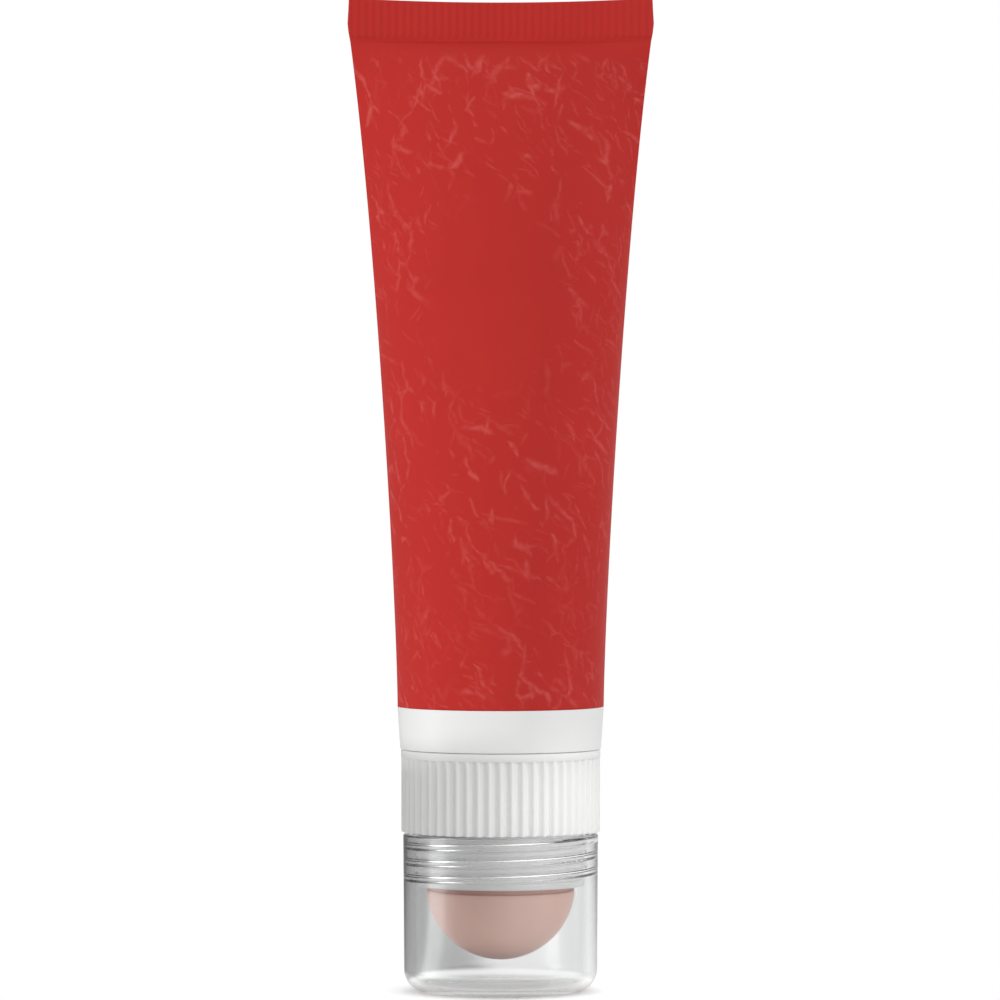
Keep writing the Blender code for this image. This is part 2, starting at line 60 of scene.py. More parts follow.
# Clear cap
CAP_HEIGHT = 23.0 * MM
CAP_FOOT_R = 14.03 * MM
CAP_WALL = 1.5 * MM
CAP_FLOOR = 1.2 * MM
CAP_CORNER = 3.2 * MM
CAP_INNER_CORNER = 1.8 * MM
CAP_RECESS_R = 7.25 * MM
CAP_RECESS_DEPTH = 0.35 * MM
CAP_BORE_R = CAP_R - CAP_WALL
CAP_FLOOR_R = CAP_FOOT_R - CAP_WALL

# Balm, its barrel and its lift
TIP_ROOM = 3.4 * MM
BARREL_R = CAP_BORE_R - 0.55 * MM
BARREL_BORE_R = BARREL_R - 0.95 * MM
BARREL_BEAD = 0.2 * MM
BARREL_BEAD_HEIGHT = 0.9 * MM
FLANGE_R = BARREL_R + 0.75 * MM
FLANGE_HEIGHT = 1.0 * MM
BALM_R = BARREL_BORE_R - FIT_GAP
BALM_WAIST = 0.45 * MM
STROKE_OUT = 2.5 * MM
STROKE_IN = 2.0 * MM
CARRIER_HEIGHT = 2.6 * MM
NUT_R = 3.5 * MM
NUT_LENGTH = 4.5 * MM
SCREW_R = 2.0 * MM
SCREW_TIP = 0.5 * MM
SCREW_HEAD_R = 3.8 * MM  # to the corners of the hexagon
SCREW_HEAD_HEIGHT = 0.8 * MM
SCREW_HOLE_R = SCREW_R + FIT_GAP
KEY_COUNT = 4
KEY_WIDTH = 1.2 * MM
KEY_DEPTH = 0.8 * MM

# Ribbed collar
COLLAR_HEIGHT = 12.0 * MM
COLLAR_RIM_HEIGHT = 1.15 * MM
COLLAR_WALL = 1.3 * MM
RIB_COUNT = 55
RIB_DROP = 0.05 * MM
GROOVE_DEPTH = 0.7 * MM
LIP_HEIGHT = 1.6 * MM
WEB_THICKNESS = 1.9 * MM
BOSS_BORE_R = 8.0 * MM
BOSS_R = 9.6 * MM
BOSS_DROP = 0.6 * MM

# Tube head and sealing disc
NECK_R = 7.0 * MM
NECK_BORE_R = 5.6 * MM
NECK_END_WALL = 1.0 * MM
ORIFICE_R = 2.25 * MM
BAND_HEIGHT = 6.2 * MM
BAND_SKIRT_DROP = 0.24 * MM
SHOULDER_THICKNESS = 1.3 * MM
SPIGOT_HEIGHT = 2.6 * MM
LINER_R = BOSS_BORE_R - FIT_GAP
LINER_THICKNESS = 0.8 * MM

# Sleeve and end seal
SLEEVE_LENGTH = 96.3 * MM
SLEEVE_WALL = 0.5 * MM
SLEEVE_BORE_R = TUBE_R - SLEEVE_WALL
SPIGOT_R = SLEEVE_BORE_R - FIT_GAP
HEAD_BORE_R = SPIGOT_R - 1.0 * MM
SEAL_FOOT_WIDTH = 43.7 * MM
SEAL_WIDEST = 44.5 * MM
SEAL_HEIGHT = 5.65 * MM
SEAL_DIP = 0.65 * MM
SEAL_THICKNESS = 1.2 * MM
SEAL_RIB_PITCH = 1.1 * MM
SEAL_GROOVE = 0.12 * MM
ROOT_DEPTH = 1.4 * MM
FLARE_POWER = 1.35
LATE_FLARE = 1.4 * MM
LATE_FLARE_POWER = 6
FOLD_POWER = 3
CAVITY_END = 1.0 * MM
PLATE_FULLNESS = 0.12  # of a section: 1 is an ellipse, and near 0 a flat plate
DENT_DEPTH = 0.35 * MM
DENT_WIDTH = 13.0 * MM
DENT_LENGTH = 34.0 * MM

# Heights of the seats, from the floor up
RIM_Z = CAP_FLOOR + TIP_ROOM + BALM_R
COLLAR_Z = CAP_HEIGHT + FIT_GAP
FLANGE_Z = COLLAR_Z + LIP_HEIGHT + FIT_GAP
WEB_Z = FLANGE_Z + FLANGE_HEIGHT + FIT_GAP
CARRIER_Z = WEB_Z - FIT_GAP - STROKE_IN - CARRIER_HEIGHT
BALM_TOP_Z = CARRIER_Z - FIT_GAP
LINER_Z = WEB_Z + WEB_THICKNESS + FIT_GAP
NECK_END_Z = LINER_Z + LINER_THICKNESS + FIT_GAP
COLLAR_TOP_Z = COLLAR_Z + COLLAR_HEIGHT
BAND_Z = COLLAR_TOP_Z + FIT_GAP
SLEEVE_Z = BAND_Z + BAND_HEIGHT
SCREW_END_Z = CARRIER_Z - NUT_LENGTH - STROKE_OUT - SCREW_TIP
BALM_HOLE_Z = SCREW_END_Z - STROKE_IN - FIT_GAP
KEY_Z = RIM_Z + STROKE_IN + 2 * FIT_GAP

# Threads and keys: crest and flank are shares of the pitch
NECK_THREAD_HEIGHT = 0.72 * MM
LIFT_THREAD_HEIGHT = 0.4 * MM
NUT_THREAD_DEPTH = 0.35 * MM
BARREL_THREAD_HEIGHT = 0.38 * MM
CAP_THREAD_HEIGHT = 0.3 * MM
NECK_THREAD = {
    "lead": 3.0 * MM,
    "starts": 1,
    "crest": 0.16,
    "flank": 0.12,
    "run": 0.6 * MM,
    "reach": 0.1 * MM,
}
LIFT_THREAD = {"lead": 4.0 * MM, "starts": 2, "crest": 0.2, "flank": 0.14, "reach": 0.05 * MM}
CAP_THREAD = {"lead": 2.3 * MM, "starts": 1}
KEYS = {"count": KEY_COUNT, "flank": 0.012, "run": 0.2 * MM, "turn": 0.0}

# Mesh resolution
TURN_COLUMNS = 192
THREAD_COLUMNS = 240
COLLAR_COLUMNS = RIB_COUNT * 12
SLEEVE_COLUMNS = 480
SLEEVE_ROWS = 118
LINING_ROWS = 16
CREAM_ROWS = 40
THREAD_ROW = 0.16 * MM
FINE_THREAD_ROW = 0.08 * MM
CLEAR_THREAD_ROW = 0.045 * MM
MERGE = 1e-7


class Graph:
    """A node tree with short calls that add nodes and join their sockets."""

    def __init__(self, tree):
        self.tree = tree

    def join(self, source, target):
        self.tree.links.new(source, target)

    def add(self, kind, feeds=None, **settings):
        node = self.tree.nodes.new(kind)
        for setting, value in settings.items():
            setattr(node, setting, value)
        for key, value in (feeds or {}).items():
            if isinstance(value, bpy.types.NodeSocket):
                self.join(value, node.inputs[key])
            else:
                node.inputs[key].default_value = value
        return node

    def math(self, operation, first, second=0.0, third=0.0):
        node = self.add("ShaderNodeMath", {0: first, 1: second, 2: third}, operation=operation)
        return node.outputs[0]

    def plus(self, first, second):
        return self.math("ADD", first, second)

    def minus(self, first, second):
        return self.math("SUBTRACT", first, second)

    def times(self, first, *others):
        for other in others:
            first = self.math("MULTIPLY", first, other)
        return first

    def over(self, first, second):
        return self.math("DIVIDE", first, second)

    def times_plus(self, value, factor, extra):
        return self.math("MULTIPLY_ADD", value, factor, extra)

    def distance(self, x, y):
        """How far (x, y) lies from zero."""
        return self.math("SQRT", self.plus(self.times(x, x), self.times(y, y)))

    def turned(self, x, y, degrees):
        """(x, y) measured across and along a direction that leans by degrees."""
        turn = self.math("RADIANS", degrees)
        cosine = self.math("COSINE", turn)
        sine = self.math("SINE", turn)
        across = self.plus(self.times(x, cosine), self.times(y, sine))
        along = self.minus(self.times(y, cosine), self.times(x, sine))
        return across, along

    def smooth(self, value, start, end, low=0.0, high=1.0):
        """Eases from low to high while value goes from start to end."""
        feeds = {0: value, 1: start, 2: end, 3: low, 4: high}
        return self.add("ShaderNodeMapRange", feeds, interpolation_type="SMOOTHSTEP").outputs[0]

    def vector(self, x=0.0, y=0.0, z=0.0):
        return self.add("ShaderNodeCombineXYZ", {0: x, 1: y, 2: z}).outputs[0]

    def split(self, vector):
        return self.add("ShaderNodeSeparateXYZ", {0: vector}).outputs

    def vector_math(self, operation, first, second=(0.0, 0.0, 0.0)):
        return self.add("ShaderNodeVectorMath", {0: first, 1: second}, operation=operation).outputs

    def scaled(self, vector, factor):
        return self.add("ShaderNodeVectorMath", {0: vector, 3: factor}, operation="SCALE").outputs[0]

    def noise(self, vector, scale, detail=2.0):
        feeds = {"Vector": vector, "Scale": scale, "Detail": detail}
        return self.add("ShaderNodeTexNoise", feeds).outputs["Fac"]

    def cells(self, vector, feature):
        feeds = {"Vector": vector, "Scale": 1.0, "Randomness": 1.0}
        return self.add("ShaderNodeTexVoronoi", feeds, feature=feature, voronoi_dimensions="2D").outputs

    def blend(self, factor, first, second):
        feeds = {0: factor, 6: first, 7: second}
        return self.add("ShaderNodeMix", feeds, data_type="RGBA").outputs[2]

    def mix_shaders(self, factor, first, second):
        return self.add("ShaderNodeMixShader", {0: factor, 1: first, 2: second}).outputs[0]

    def place_group(self, tree, feeds):
        return self.add("ShaderNodeGroup", feeds, node_tree=tree).outputs


def placed(name, data):
    """A new object of the scene."""
    thing = bpy.data.objects.new(name, data)
    bpy.context.scene.collection.objects.link(thing)
    return thing


# Geometry trees


def shape_tree(name, numbers):
    """A geometry tree with the named number inputs and a Material input."""
    tree = bpy.data.node_groups.new(name, "GeometryNodeTree")
    face = tree.interface
    face.new_socket("Geometry", in_out="INPUT", socket_type="NodeSocketGeometry")
    for number in numbers:
        face.new_socket(number, in_out="INPUT", socket_type="NodeSocketFloat")
    face.new_socket("Material", in_out="INPUT", socket_type="NodeSocketMaterial")
    face.new_socket("Geometry", in_out="OUTPUT", socket_type="NodeSocketGeometry")
    graph = Graph(tree)
    return graph, graph.add("NodeGroupInput").outputs


def close_tree(graph, given, geometry):
    """Ends a geometry tree in plain geometry of one material."""
    real = graph.add("GeometryNodeRealizeInstances", {"Geometry": geometry}).outputs[0]
    feeds = {"Geometry": real, "Material": given["Material"]}
    painted = graph.add("GeometryNodeSetMaterial", feeds).outputs[0]
    graph.add("NodeGroupOutput", {"Geometry": painted})
    return graph.tree


RIDGE_NUMBERS = (
    "Wall Radius",
    "Reach",
    "Height",
    "Start",
    "End",
    "Run",
    "Crest",
    "Flank",
    "Turn",
)


def raise_ridges(graph, given, phase, level):
    """Moves the wall out by Height on the crests. phase runs 0 to 1 from ridge to ridge."""
    x, y, _ = graph.split(graph.add("GeometryNodeInputPosition").outputs[0])
    radius = graph.distance(x, y)
    half_crest = graph.times(given["Crest"], 0.5)
    foot = graph.plus(half_crest, given["Flank"])
    off_centre = graph.math("ABSOLUTE", graph.minus(phase, 0.5))
    ridge = graph.smooth(off_centre, half_crest, foot, 1.0, 0.0)
    rise = graph.smooth(level, given["Start"], graph.plus(given["Start"], given["Run"]))
    fall_start = graph.minus(given["End"], given["Run"])
    fall = graph.smooth(level, fall_start, given["End"], 1.0, 0.0)
    off_wall = graph.math("ABSOLUTE", graph.minus(radius, given["Wall Radius"]))
    on_wall = graph.math("LESS_THAN", off_wall, given["Reach"])
    shift = graph.times(ridge, on_wall, graph.times(rise, fall), given["Height"])
    share = graph.over(shift, graph.math("MAXIMUM", radius, MM))
    offset = graph.vector(graph.times(x, share), graph.times(y, share))
    feeds = {"Geometry": given["Geometry"], "Offset": offset}
    moved = graph.add("GeometryNodeSetPosition", feeds).outputs[0]
    return close_tree(graph, given, moved)


def turn_share(graph):
    """How far round the axis a point lies, as a share of a turn, and its height."""
    x, y, z = graph.split(graph.add("GeometryNodeInputPosition").outputs[0])
    return graph.over(graph.math("ARCTAN2", y, x), math.tau), z


def screw_thread_tree():
    """Right-handed ridges that climb a round wall and run out at both ends."""
    graph, given = shape_tree("screw thread", (*RIDGE_NUMBERS, "Lead", "Starts"))
    around, z = turn_share(graph)
    turns = graph.minus(graph.over(z, given["Lead"]), around)
    turned_on = graph.plus(turns, given["Turn"])
    phase = graph.math("FRACT", graph.times(turned_on, given["Starts"]))
    pitch = graph.over(given["Lead"], given["Starts"])
    off_crest = graph.times(graph.minus(phase, 0.5), pitch)
    return raise_ridges(graph, given, phase, graph.minus(z, off_crest))


def upright_ridge_tree():
    """Ridges or grooves that stand upright, evenly spaced round a wall."""
    graph, given = shape_tree("upright ridges", (*RIDGE_NUMBERS, "Count"))
    around, z = turn_share(graph)
    turned_on = graph.plus(around, given["Turn"])
    phase = graph.math("FRACT", graph.times(turned_on, given["Count"]))
    return raise_ridges(graph, given, phase, z)


def sleeve_tree():
    """Folds a blank of rings into the sleeve: round below, creased at its sides above."""
    numbers = ("Seal Dip", "Rib Pitch", "Rib Depth", "Dent Depth", "Dent Width", "Dent Length")
    graph, given = shape_tree("squeezed sleeve", numbers)

    def stored(label):
        node = graph.add("GeometryNodeInputNamedAttribute", {"Name": label}, data_type="FLOAT")
        return node.outputs[0]

    angle = graph.times(stored("around"), math.tau)
    cosine = graph.math("MAXIMUM", graph.math("MINIMUM", graph.math("COSINE", angle), 1.0), -1.0)
    sine = graph.math("SINE", angle)
    folded = graph.times(graph.math("ARCSINE", cosine), 2 / math.pi)
    across = graph.times_plus(graph.minus(folded, cosine), stored("fold"), cosine)
    x = graph.times(across, stored("half_width"))
    side = graph.math("SIGN", sine)
    fullness = graph.math("POWER", graph.math("ABSOLUTE", sine), stored("fullness"))
    wave = graph.math("COSINE", graph.over(graph.times(x, math.tau), given["Rib Pitch"]))
    groove = graph.times(graph.times_plus(wave, -0.5, 0.5), given["Rib Depth"])
    plain_depth = graph.times(fullness, stored("half_depth"))
    depth = graph.minus(plain_depth, graph.times(groove, stored("rib")))
    lift = graph.times(across, across, given["Seal Dip"])
    z = graph.times_plus(lift, stored("rise"), stored("height"))
    spot = graph.vector(graph.over(x, given["Dent Width"]), side, graph.over(z, given["Dent Length"]))
    swell = graph.minus(graph.noise(spot, 1.0, 1.0), 0.5)
    dent = graph.times(swell, given["Dent Depth"], stored("soft"))
    y = graph.times(side, graph.times_plus(dent, fullness, depth))
    feeds = {"Geometry": given["Geometry"], "Position": graph.vector(x, y, z)}
    bent = graph.add("GeometryNodeSetPosition", feeds).outputs[0]
    return close_tree(graph, given, bent)


def grow(piece, tree, material, **numbers):
    """Runs a geometry tree on a piece and keeps the result as its plain mesh."""
    wanted = {name.replace("_", " ").title(): value for name, value in numbers.items()}
    wanted["Material"] = material
    modifier = piece.modifiers.new(tree.name, "NODES")
    modifier.node_group = tree
    for item in tree.interface.items_tree:
        if item.item_type == "SOCKET" and item.in_out == "INPUT" and item.name in wanted:
            value = wanted[item.name]
            modifier[item.identifier] = float(value) if item.name != "Material" else value
    evaluated = piece.evaluated_get(bpy.context.evaluated_depsgraph_get())
    mesh = bpy.data.meshes.new_from_object(evaluated)
    piece.modifiers.remove(modifier)
    piece.data = mesh


# Meshes


def ring_piece(name, rings, wraps):
    """An object of quads from an array of rings: ring, column, (x, y, z)."""
    count, columns, _ = rings.shape
    ring = np.arange(count if wraps else count - 1)[:, None]
    column = np.arange(columns)[None, :]
    above = (ring + 1) % count
    beside = (column + 1) % columns
    quads = np.stack(
        [
            ring * columns + column,
            ring * columns + beside,
            above * columns + beside,
            above * columns + column,
        ],
        axis=-1,
    )
    mesh = bpy.data.meshes.new(name)
    mesh.from_pydata(rings.reshape(-1, 3).tolist(), [], quads.reshape(-1, 4).tolist())
    return placed(name, mesh)


def finish_shell(piece, sharp_deg=40):
    """Closes poles and seams, turns the faces outwards and shades the round ones smooth."""
    bm = bmesh.new()
    bm.from_mesh(piece.data)
    bmesh.ops.remove_doubles(bm, verts=bm.verts, dist=MERGE)
    bmesh.ops.recalc_face_normals(bm, faces=bm.faces)
    bm.to_mesh(piece.data)
    bm.free()
    piece.data.shade_smooth()
    piece.data.set_sharp_from_angle(angle=math.radians(sharp_deg))
    return piece


def filleted(corners, steps=3):
    """Profile points (r, z) from corners (r, z) or (r, z, fillet)."""
    points = []
    for number, (r, z, *fillet) in enumerate(corners):
        if not fillet:
            points.append((r, z))
            continue
        corner = Vector((r, z))
        back = Vector(corners[number - 1][:2]) - corner
        ahead = Vector(corners[(number + 1) % len(corners)][:2]) - corner
        reach = min(fillet[0], 0.45 * back.length, 0.45 * ahead.length)
        start = corner + back.normalized() * reach
        end = corner + ahead.normalized() * reach
        for step in range(steps + 1):
            t = step / steps
            points.append(tuple(start * (1 - t) ** 2 + corner * 2 * t * (1 - t) + end * t * t))
    return points


def arc(centre_r, centre_z, radius, start_deg, end_deg, steps):
    """Points (r, z) along an arc of a profile, both ends included."""
    points = []
    for step in range(steps + 1):
        angle = math.radians(start_deg + (end_deg - start_deg) * step / steps)
        points.append((centre_r + radius * math.cos(angle), centre_z + radius * math.sin(angle)))
    return points


def with_rows(points, wall_r, spacing=THREAD_ROW, reach=0.02 * MM, lowest=0.0):
    """Splits the wall at radius wall_r, above the height lowest, into rows at most spacing apart."""
    made = []
    for (r0, z0), (r1, z1) in zip(points, points[1:] + points[:1]):
        made.append((r0, z0))
        if abs(r0 - wall_r) < reach and abs(r1 - wall_r) < reach and min(z0, z1) >= lowest:
            parts = max(1, math.ceil(abs(z1 - z0) / spacing))
            for part in range(1, parts):
                share = part / parts
                made.append((r0 + (r1 - r0) * share, z0 + (z1 - z0) * share))
    return made


def spun(name, profile, columns=TURN_COLUMNS, hexagon_r=None):
    """Spins a profile that closes on itself or ends on the axis. Points at hexagon_r follow a hexagon."""
    angles = np.arange(columns) * math.tau / columns
    r, z = np.array(profile).T
    radii = np.repeat(r[:, None], columns, axis=1)
    if hexagon_r:
        flat = np.cos(np.mod(angles, math.pi / 3) - math.pi / 6)
        six = np.abs(r - hexagon_r) < 0.001 * MM
        radii[six] *= math.cos(math.pi / 6) / flat
    x = radii * np.cos(angles)
    y = radii * np.sin(angles)
    heights = np.repeat(z[:, None], columns, axis=1)
    on_axis = r[0] < MERGE and r[-1] < MERGE
    return ring_piece(name, np.stack([x, y, heights], axis=-1), not on_axis)


def lifted(points, z):
    return [(r, height + z) for r, height in points]


def section_girth(half_width, half_depth, fold):
    """Girth of one ring of the sleeve."""
    angles = np.linspace(0.0, math.tau, 721)
    cosine = np.clip(np.cos(angles), -1.0, 1.0)
    x = half_width * ((1 - fold) * cosine + fold * 2 / math.pi * np.arcsin(cosine))
    y = half_depth * np.sin(angles)
    return float(np.hypot(np.diff(x), np.diff(y)).sum())


def sleeve_form(share):
    """Half width, half depth and fold of the sleeve at a share of its length."""
    early = (SEAL_FOOT_WIDTH - 2 * TUBE_R - LATE_FLARE) * share**FLARE_POWER
    half_width = (2 * TUBE_R + early + LATE_FLARE * share**LATE_FLARE_POWER) / 2
    fold = share**FOLD_POWER
    round_girth = math.tau * TUBE_R
    seal_girth = section_girth(SEAL_FOOT_WIDTH / 2, ROOT_DEPTH / 2, 1.0)
    girth = round_girth + (seal_girth - round_girth) * share**2
    low, high = 0.0, 2 * TUBE_R
    for _ in range(30):
        middle = (low + high) / 2
        if section_girth(half_width, middle, fold) < girth:
            low = middle
        else:
            high = middle
    return half_width, high, fold


def spaced_shares(count, last=1.0):
    """Shares of the sleeve's length, closer together towards the seal."""
    return [last * (1 - (1 - step / count) ** 1.4) for step in range(count + 1)]


class Ring(NamedTuple):
    """One ring of a blank, as the sleeve tree reads it."""

    half_width: float
    half_depth: float
    height: float
    fold: float = 0.0
    fullness: float = 1.0
    rise: float = 0.0
    rib: float = 0.0
    soft: float = 0.0


def seal_half_width(share):
    """Half width of the end seal: widest at two fifths of its height."""
    curve = np.interp(share, (0.0, 0.2, 0.4, 0.7, 1.0), (0.0, 0.62, 1.0, 0.72, 0.5))
    return (SEAL_FOOT_WIDTH + (SEAL_WIDEST - SEAL_FOOT_WIDTH) * curve) / 2


def seal_rings():
    """The end seal, from its closed top edge down to its pinched foot."""
    foot_z = SLEEVE_Z + SLEEVE_LENGTH
    edge = ((0.0, 0.0), (0.03, 0.62), (0.1, 0.86), (0.22, 0.98), (0.4, 1.0))
    pinch = (
        (0.62, 0.99, 0.2, 0.8),
        (0.45, 0.96, 0.34, 0.45),
        (0.28, 0.95, 0.55, 0.12),
        (0.12, 1.0, 0.8, 0.0),
    )
    body_top, body_reach, body_rows = 0.92, 0.8, 11

    def ring(share, height, thickness, fullness, rib):
        half_depth = SEAL_THICKNESS / 2 * thickness
        return Ring(seal_half_width(share), half_depth, height, 1.0, fullness, share, rib)

    rings = []
    for drop, thickness in edge:
        share = 1 - drop * MM / SEAL_HEIGHT
        rings.append(ring(share, foot_z + share * SEAL_HEIGHT, thickness, PLATE_FULLNESS, thickness))
    for row in range(1, body_rows + 1):
        share = body_top - body_reach * row / body_rows
        rings.append(ring(share, foot_z + share * SEAL_HEIGHT, 1.0, PLATE_FULLNESS, 1.0))
    for height, thickness, fullness, rib in pinch:
        rings.append(ring(height * MM / SEAL_HEIGHT, foot_z + height * MM, thickness, fullness, rib))
    return rings


def softness(share):
    """How much the sleeve may be dented at a share of its length: not at its head or its seal."""
    return float(np.interp(share, (0.0, 0.12, 0.45, 0.9, 1.0), (0.0, 0.25, 1.0, 1.0, 0.0)))


def skin_rings(shares, inset):
    """The sleeve's surface, or one that lies evenly inside it."""
    rings = []
    for share in shares:
        half_width, half_depth, fold = sleeve_form(share)
        height = SLEEVE_Z + share * SLEEVE_LENGTH
        rings.append(Ring(half_width - inset, half_depth - inset, height, fold, soft=softness(share)))
    return rings


def round_ring(radius, height):
    return Ring(radius, radius, height)


def folded_piece(name, rings, columns, tree, material):
    """A closed blank of rings that the sleeve tree folds to shape."""
    piece = ring_piece(name, np.zeros((len(rings), columns, 3)), False)
    mesh = piece.data
    around = np.tile((np.arange(columns) / columns + 0.25) % 1.0, len(rings))
    fields = {field: np.repeat(values, columns) for field, values in zip(Ring._fields, np.array(rings).T)}
    for field, values in {**fields, "around": around}.items():
        mesh.attributes.new(field, "FLOAT", "POINT").data.foreach_set("value", values.astype(np.float32))
    column_at = np.arange(columns)[None, :, None] + np.array([0, 1, 1, 0])
    ring_at = np.arange(len(rings) - 1)[:, None, None] + np.array([0, 0, 1, 1])
    wrap = np.zeros((len(rings) - 1, columns, 4, 2))
    wrap[..., 0] = column_at * (math.tau * TUBE_R / columns / MM)
    wrap[..., 1] = np.array([ring.height for ring in rings])[ring_at] / MM
    mesh.uv_layers.new(name="film").data.foreach_set("uv", wrap.reshape(-1).astype(np.float32))
    grow(
        piece,
        tree,
        material,
        seal_dip=SEAL_DIP,
        rib_pitch=SEAL_RIB_PITCH,
        rib_depth=SEAL_GROOVE,
        dent_depth=DENT_DEPTH,
        dent_width=DENT_WIDTH,
        dent_length=DENT_LENGTH,
    )
    for field in (*Ring._fields, "around"):
        piece.data.attributes.remove(piece.data.attributes[field])
    return finish_shell(piece, 45)


def make_sleeve(tree, material):
    """Outside from the seal's top edge down to the white band, then up the lining."""
    outside = skin_rings(reversed(spaced_shares(SLEEVE_ROWS)), 0.0)
    foot_z = SLEEVE_Z - FIT_GAP + 0.02 * MM
    corner = 0.06 * MM
    foot = [
        round_ring(TUBE_R, foot_z + corner),
        round_ring(TUBE_R - corner, foot_z),
        round_ring(SLEEVE_BORE_R, foot_z),
    ]
    lining = skin_rings(spaced_shares(LINING_ROWS, 1 - CAVITY_END / SLEEVE_LENGTH), SLEEVE_WALL)
    closed = lining[-1]._replace(half_depth=0.0)
    rings = [*seal_rings(), *outside, *foot, *lining, closed]
    return folded_piece("squeeze_sleeve", rings, SLEEVE_COLUMNS, tree, material)


def make_cream(tree, material):
    """The contents, a little inside the sleeve, the head and the neck."""
    neck_floor = NECK_END_Z + NECK_END_WALL + FIT_GAP
    shoulder = BAND_Z + SHOULDER_THICKNESS + FIT_GAP
    spigot_top = SLEEVE_Z + SPIGOT_HEIGHT + FIT_GAP
    neck_r = NECK_BORE_R - FIT_GAP
    head_r = HEAD_BORE_R - FIT_GAP
    below = [
        round_ring(0.0, neck_floor),
        round_ring(neck_r, neck_floor),
        round_ring(neck_r, shoulder),
        round_ring(head_r, shoulder),
        round_ring(head_r, spigot_top),
    ]
    shares = spaced_shares(CREAM_ROWS, 1 - (CAVITY_END + 2 * FIT_GAP) / SLEEVE_LENGTH)
    above = [ring for ring in skin_rings(shares, SLEEVE_WALL + FIT_GAP) if ring.height > spigot_top]
    closed = above[-1]._replace(half_depth=0.0)
    return folded_piece("cream_filling", [*below, *above, closed], TURN_COLUMNS, tree, material)


def make_head(threads, material):
    """White band, shoulder, neck with its thread, orifice and the spigot up inside the sleeve."""
    neck_end = NECK_END_Z - BAND_Z
    profile = filleted(
        [
            (NECK_R, 0.0, 0.3 * MM),
            (BAND_FOOT_R - 0.9 * MM, 0.0),
            (BAND_FOOT_R - 0.7 * MM, -BAND_SKIRT_DROP),
            (BAND_FOOT_R, -BAND_SKIRT_DROP, 0.16 * MM),
            (TUBE_R, BAND_HEIGHT - FIT_GAP, 0.04 * MM),
            (SPIGOT_R, BAND_HEIGHT - FIT_GAP),
            (SPIGOT_R, BAND_HEIGHT + SPIGOT_HEIGHT, 0.3 * MM),
            (HEAD_BORE_R, BAND_HEIGHT + SPIGOT_HEIGHT, 0.2 * MM),
            (HEAD_BORE_R, SHOULDER_THICKNESS, 0.6 * MM),
            (NECK_BORE_R, SHOULDER_THICKNESS, 0.5 * MM),
            (NECK_BORE_R, neck_end + NECK_END_WALL, 0.3 * MM),
            (ORIFICE_R, neck_end + NECK_END_WALL, 0.25 * MM),
            (ORIFICE_R, neck_end, 0.2 * MM),
            (NECK_R, neck_end, 0.3 * MM),
        ]
    )
    profile = with_rows(lifted(profile, BAND_Z), NECK_R)
    head = spun("tube_head_moulding", profile, THREAD_COLUMNS)
    grow(
        head,
        threads,
        material,
        wall_radius=NECK_R,
        height=NECK_THREAD_HEIGHT,
        start=NECK_END_Z + 0.9 * MM,
        end=BAND_Z - 0.7 * MM,
        turn=0.0,
        **NECK_THREAD,
    )
    return finish_shell(head)


def make_collar(threads, ridges, material):
    """Grip ribs outside, a pocket for the barrel below the web and a threaded boss above it."""
    crest_r = COLLAR_R - RIB_DROP
    groove_top = COLLAR_HEIGHT - COLLAR_RIM_HEIGHT
    web = WEB_Z - COLLAR_Z
    web_top = web + WEB_THICKNESS
    boss_top = COLLAR_HEIGHT - BOSS_DROP
    head_pocket_r = SCREW_HEAD_R + FIT_GAP
    head_floor = web_top - SCREW_HEAD_HEIGHT - FIT_GAP
    profile = filleted(
        [
            (BARREL_R + FIT_GAP, 0.0, 0.15 * MM),
            (crest_r, 0.0, 0.25 * MM),
            (crest_r, groove_top - 0.5 * MM),
            (crest_r, groove_top - 0.25 * MM),
            (crest_r, groove_top - 0.12 * MM),
            (crest_r, groove_top),
            (COLLAR_R, groove_top + RIB_DROP),
            (COLLAR_R, COLLAR_HEIGHT, 0.28 * MM),
            (COLLAR_R - COLLAR_WALL, COLLAR_HEIGHT, 0.2 * MM),
            (COLLAR_R - COLLAR_WALL, web_top, 0.3 * MM),
            (BOSS_R, web_top, 0.3 * MM),
            (BOSS_R, boss_top, 0.25 * MM),
            (BOSS_BORE_R, boss_top, 0.3 * MM),
            (BOSS_BORE_R, web_top),
            (head_pocket_r, web_top),
            (head_pocket_r, head_floor),
            (SCREW_HOLE_R, head_floor),
            (SCREW_HOLE_R, web),
            (FLANGE_R + FIT_GAP, web),
            (FLANGE_R + FIT_GAP, LIP_HEIGHT),
            (BARREL_R + FIT_GAP, LIP_HEIGHT, 0.1 * MM),
        ]
    )
    profile = with_rows(lifted(profile, COLLAR_Z), BOSS_BORE_R, 0.2 * MM)
    collar = spun("ribbed_collar", profile, COLLAR_COLUMNS, head_pocket_r)
    grow(
        collar,
        ridges,
        material,
        wall_radius=crest_r,
        reach=0.3 * MM,
        height=-GROOVE_DEPTH,
        start=COLLAR_Z - 1.0 * MM,
        end=COLLAR_Z + groove_top,
        run=0.14 * MM,
        crest=0.12,
        flank=0.38,
        turn=0.25,
        count=RIB_COUNT,
    )
    grow(
        collar,
        threads,
        material,
        wall_radius=BOSS_BORE_R,
        height=-NECK_THREAD_HEIGHT,
        start=LINER_Z + LINER_THICKNESS + 0.8 * MM,
        end=COLLAR_Z + boss_top - 0.4 * MM,
        turn=0.5,
        **NECK_THREAD,
    )
    return finish_shell(collar, 50)


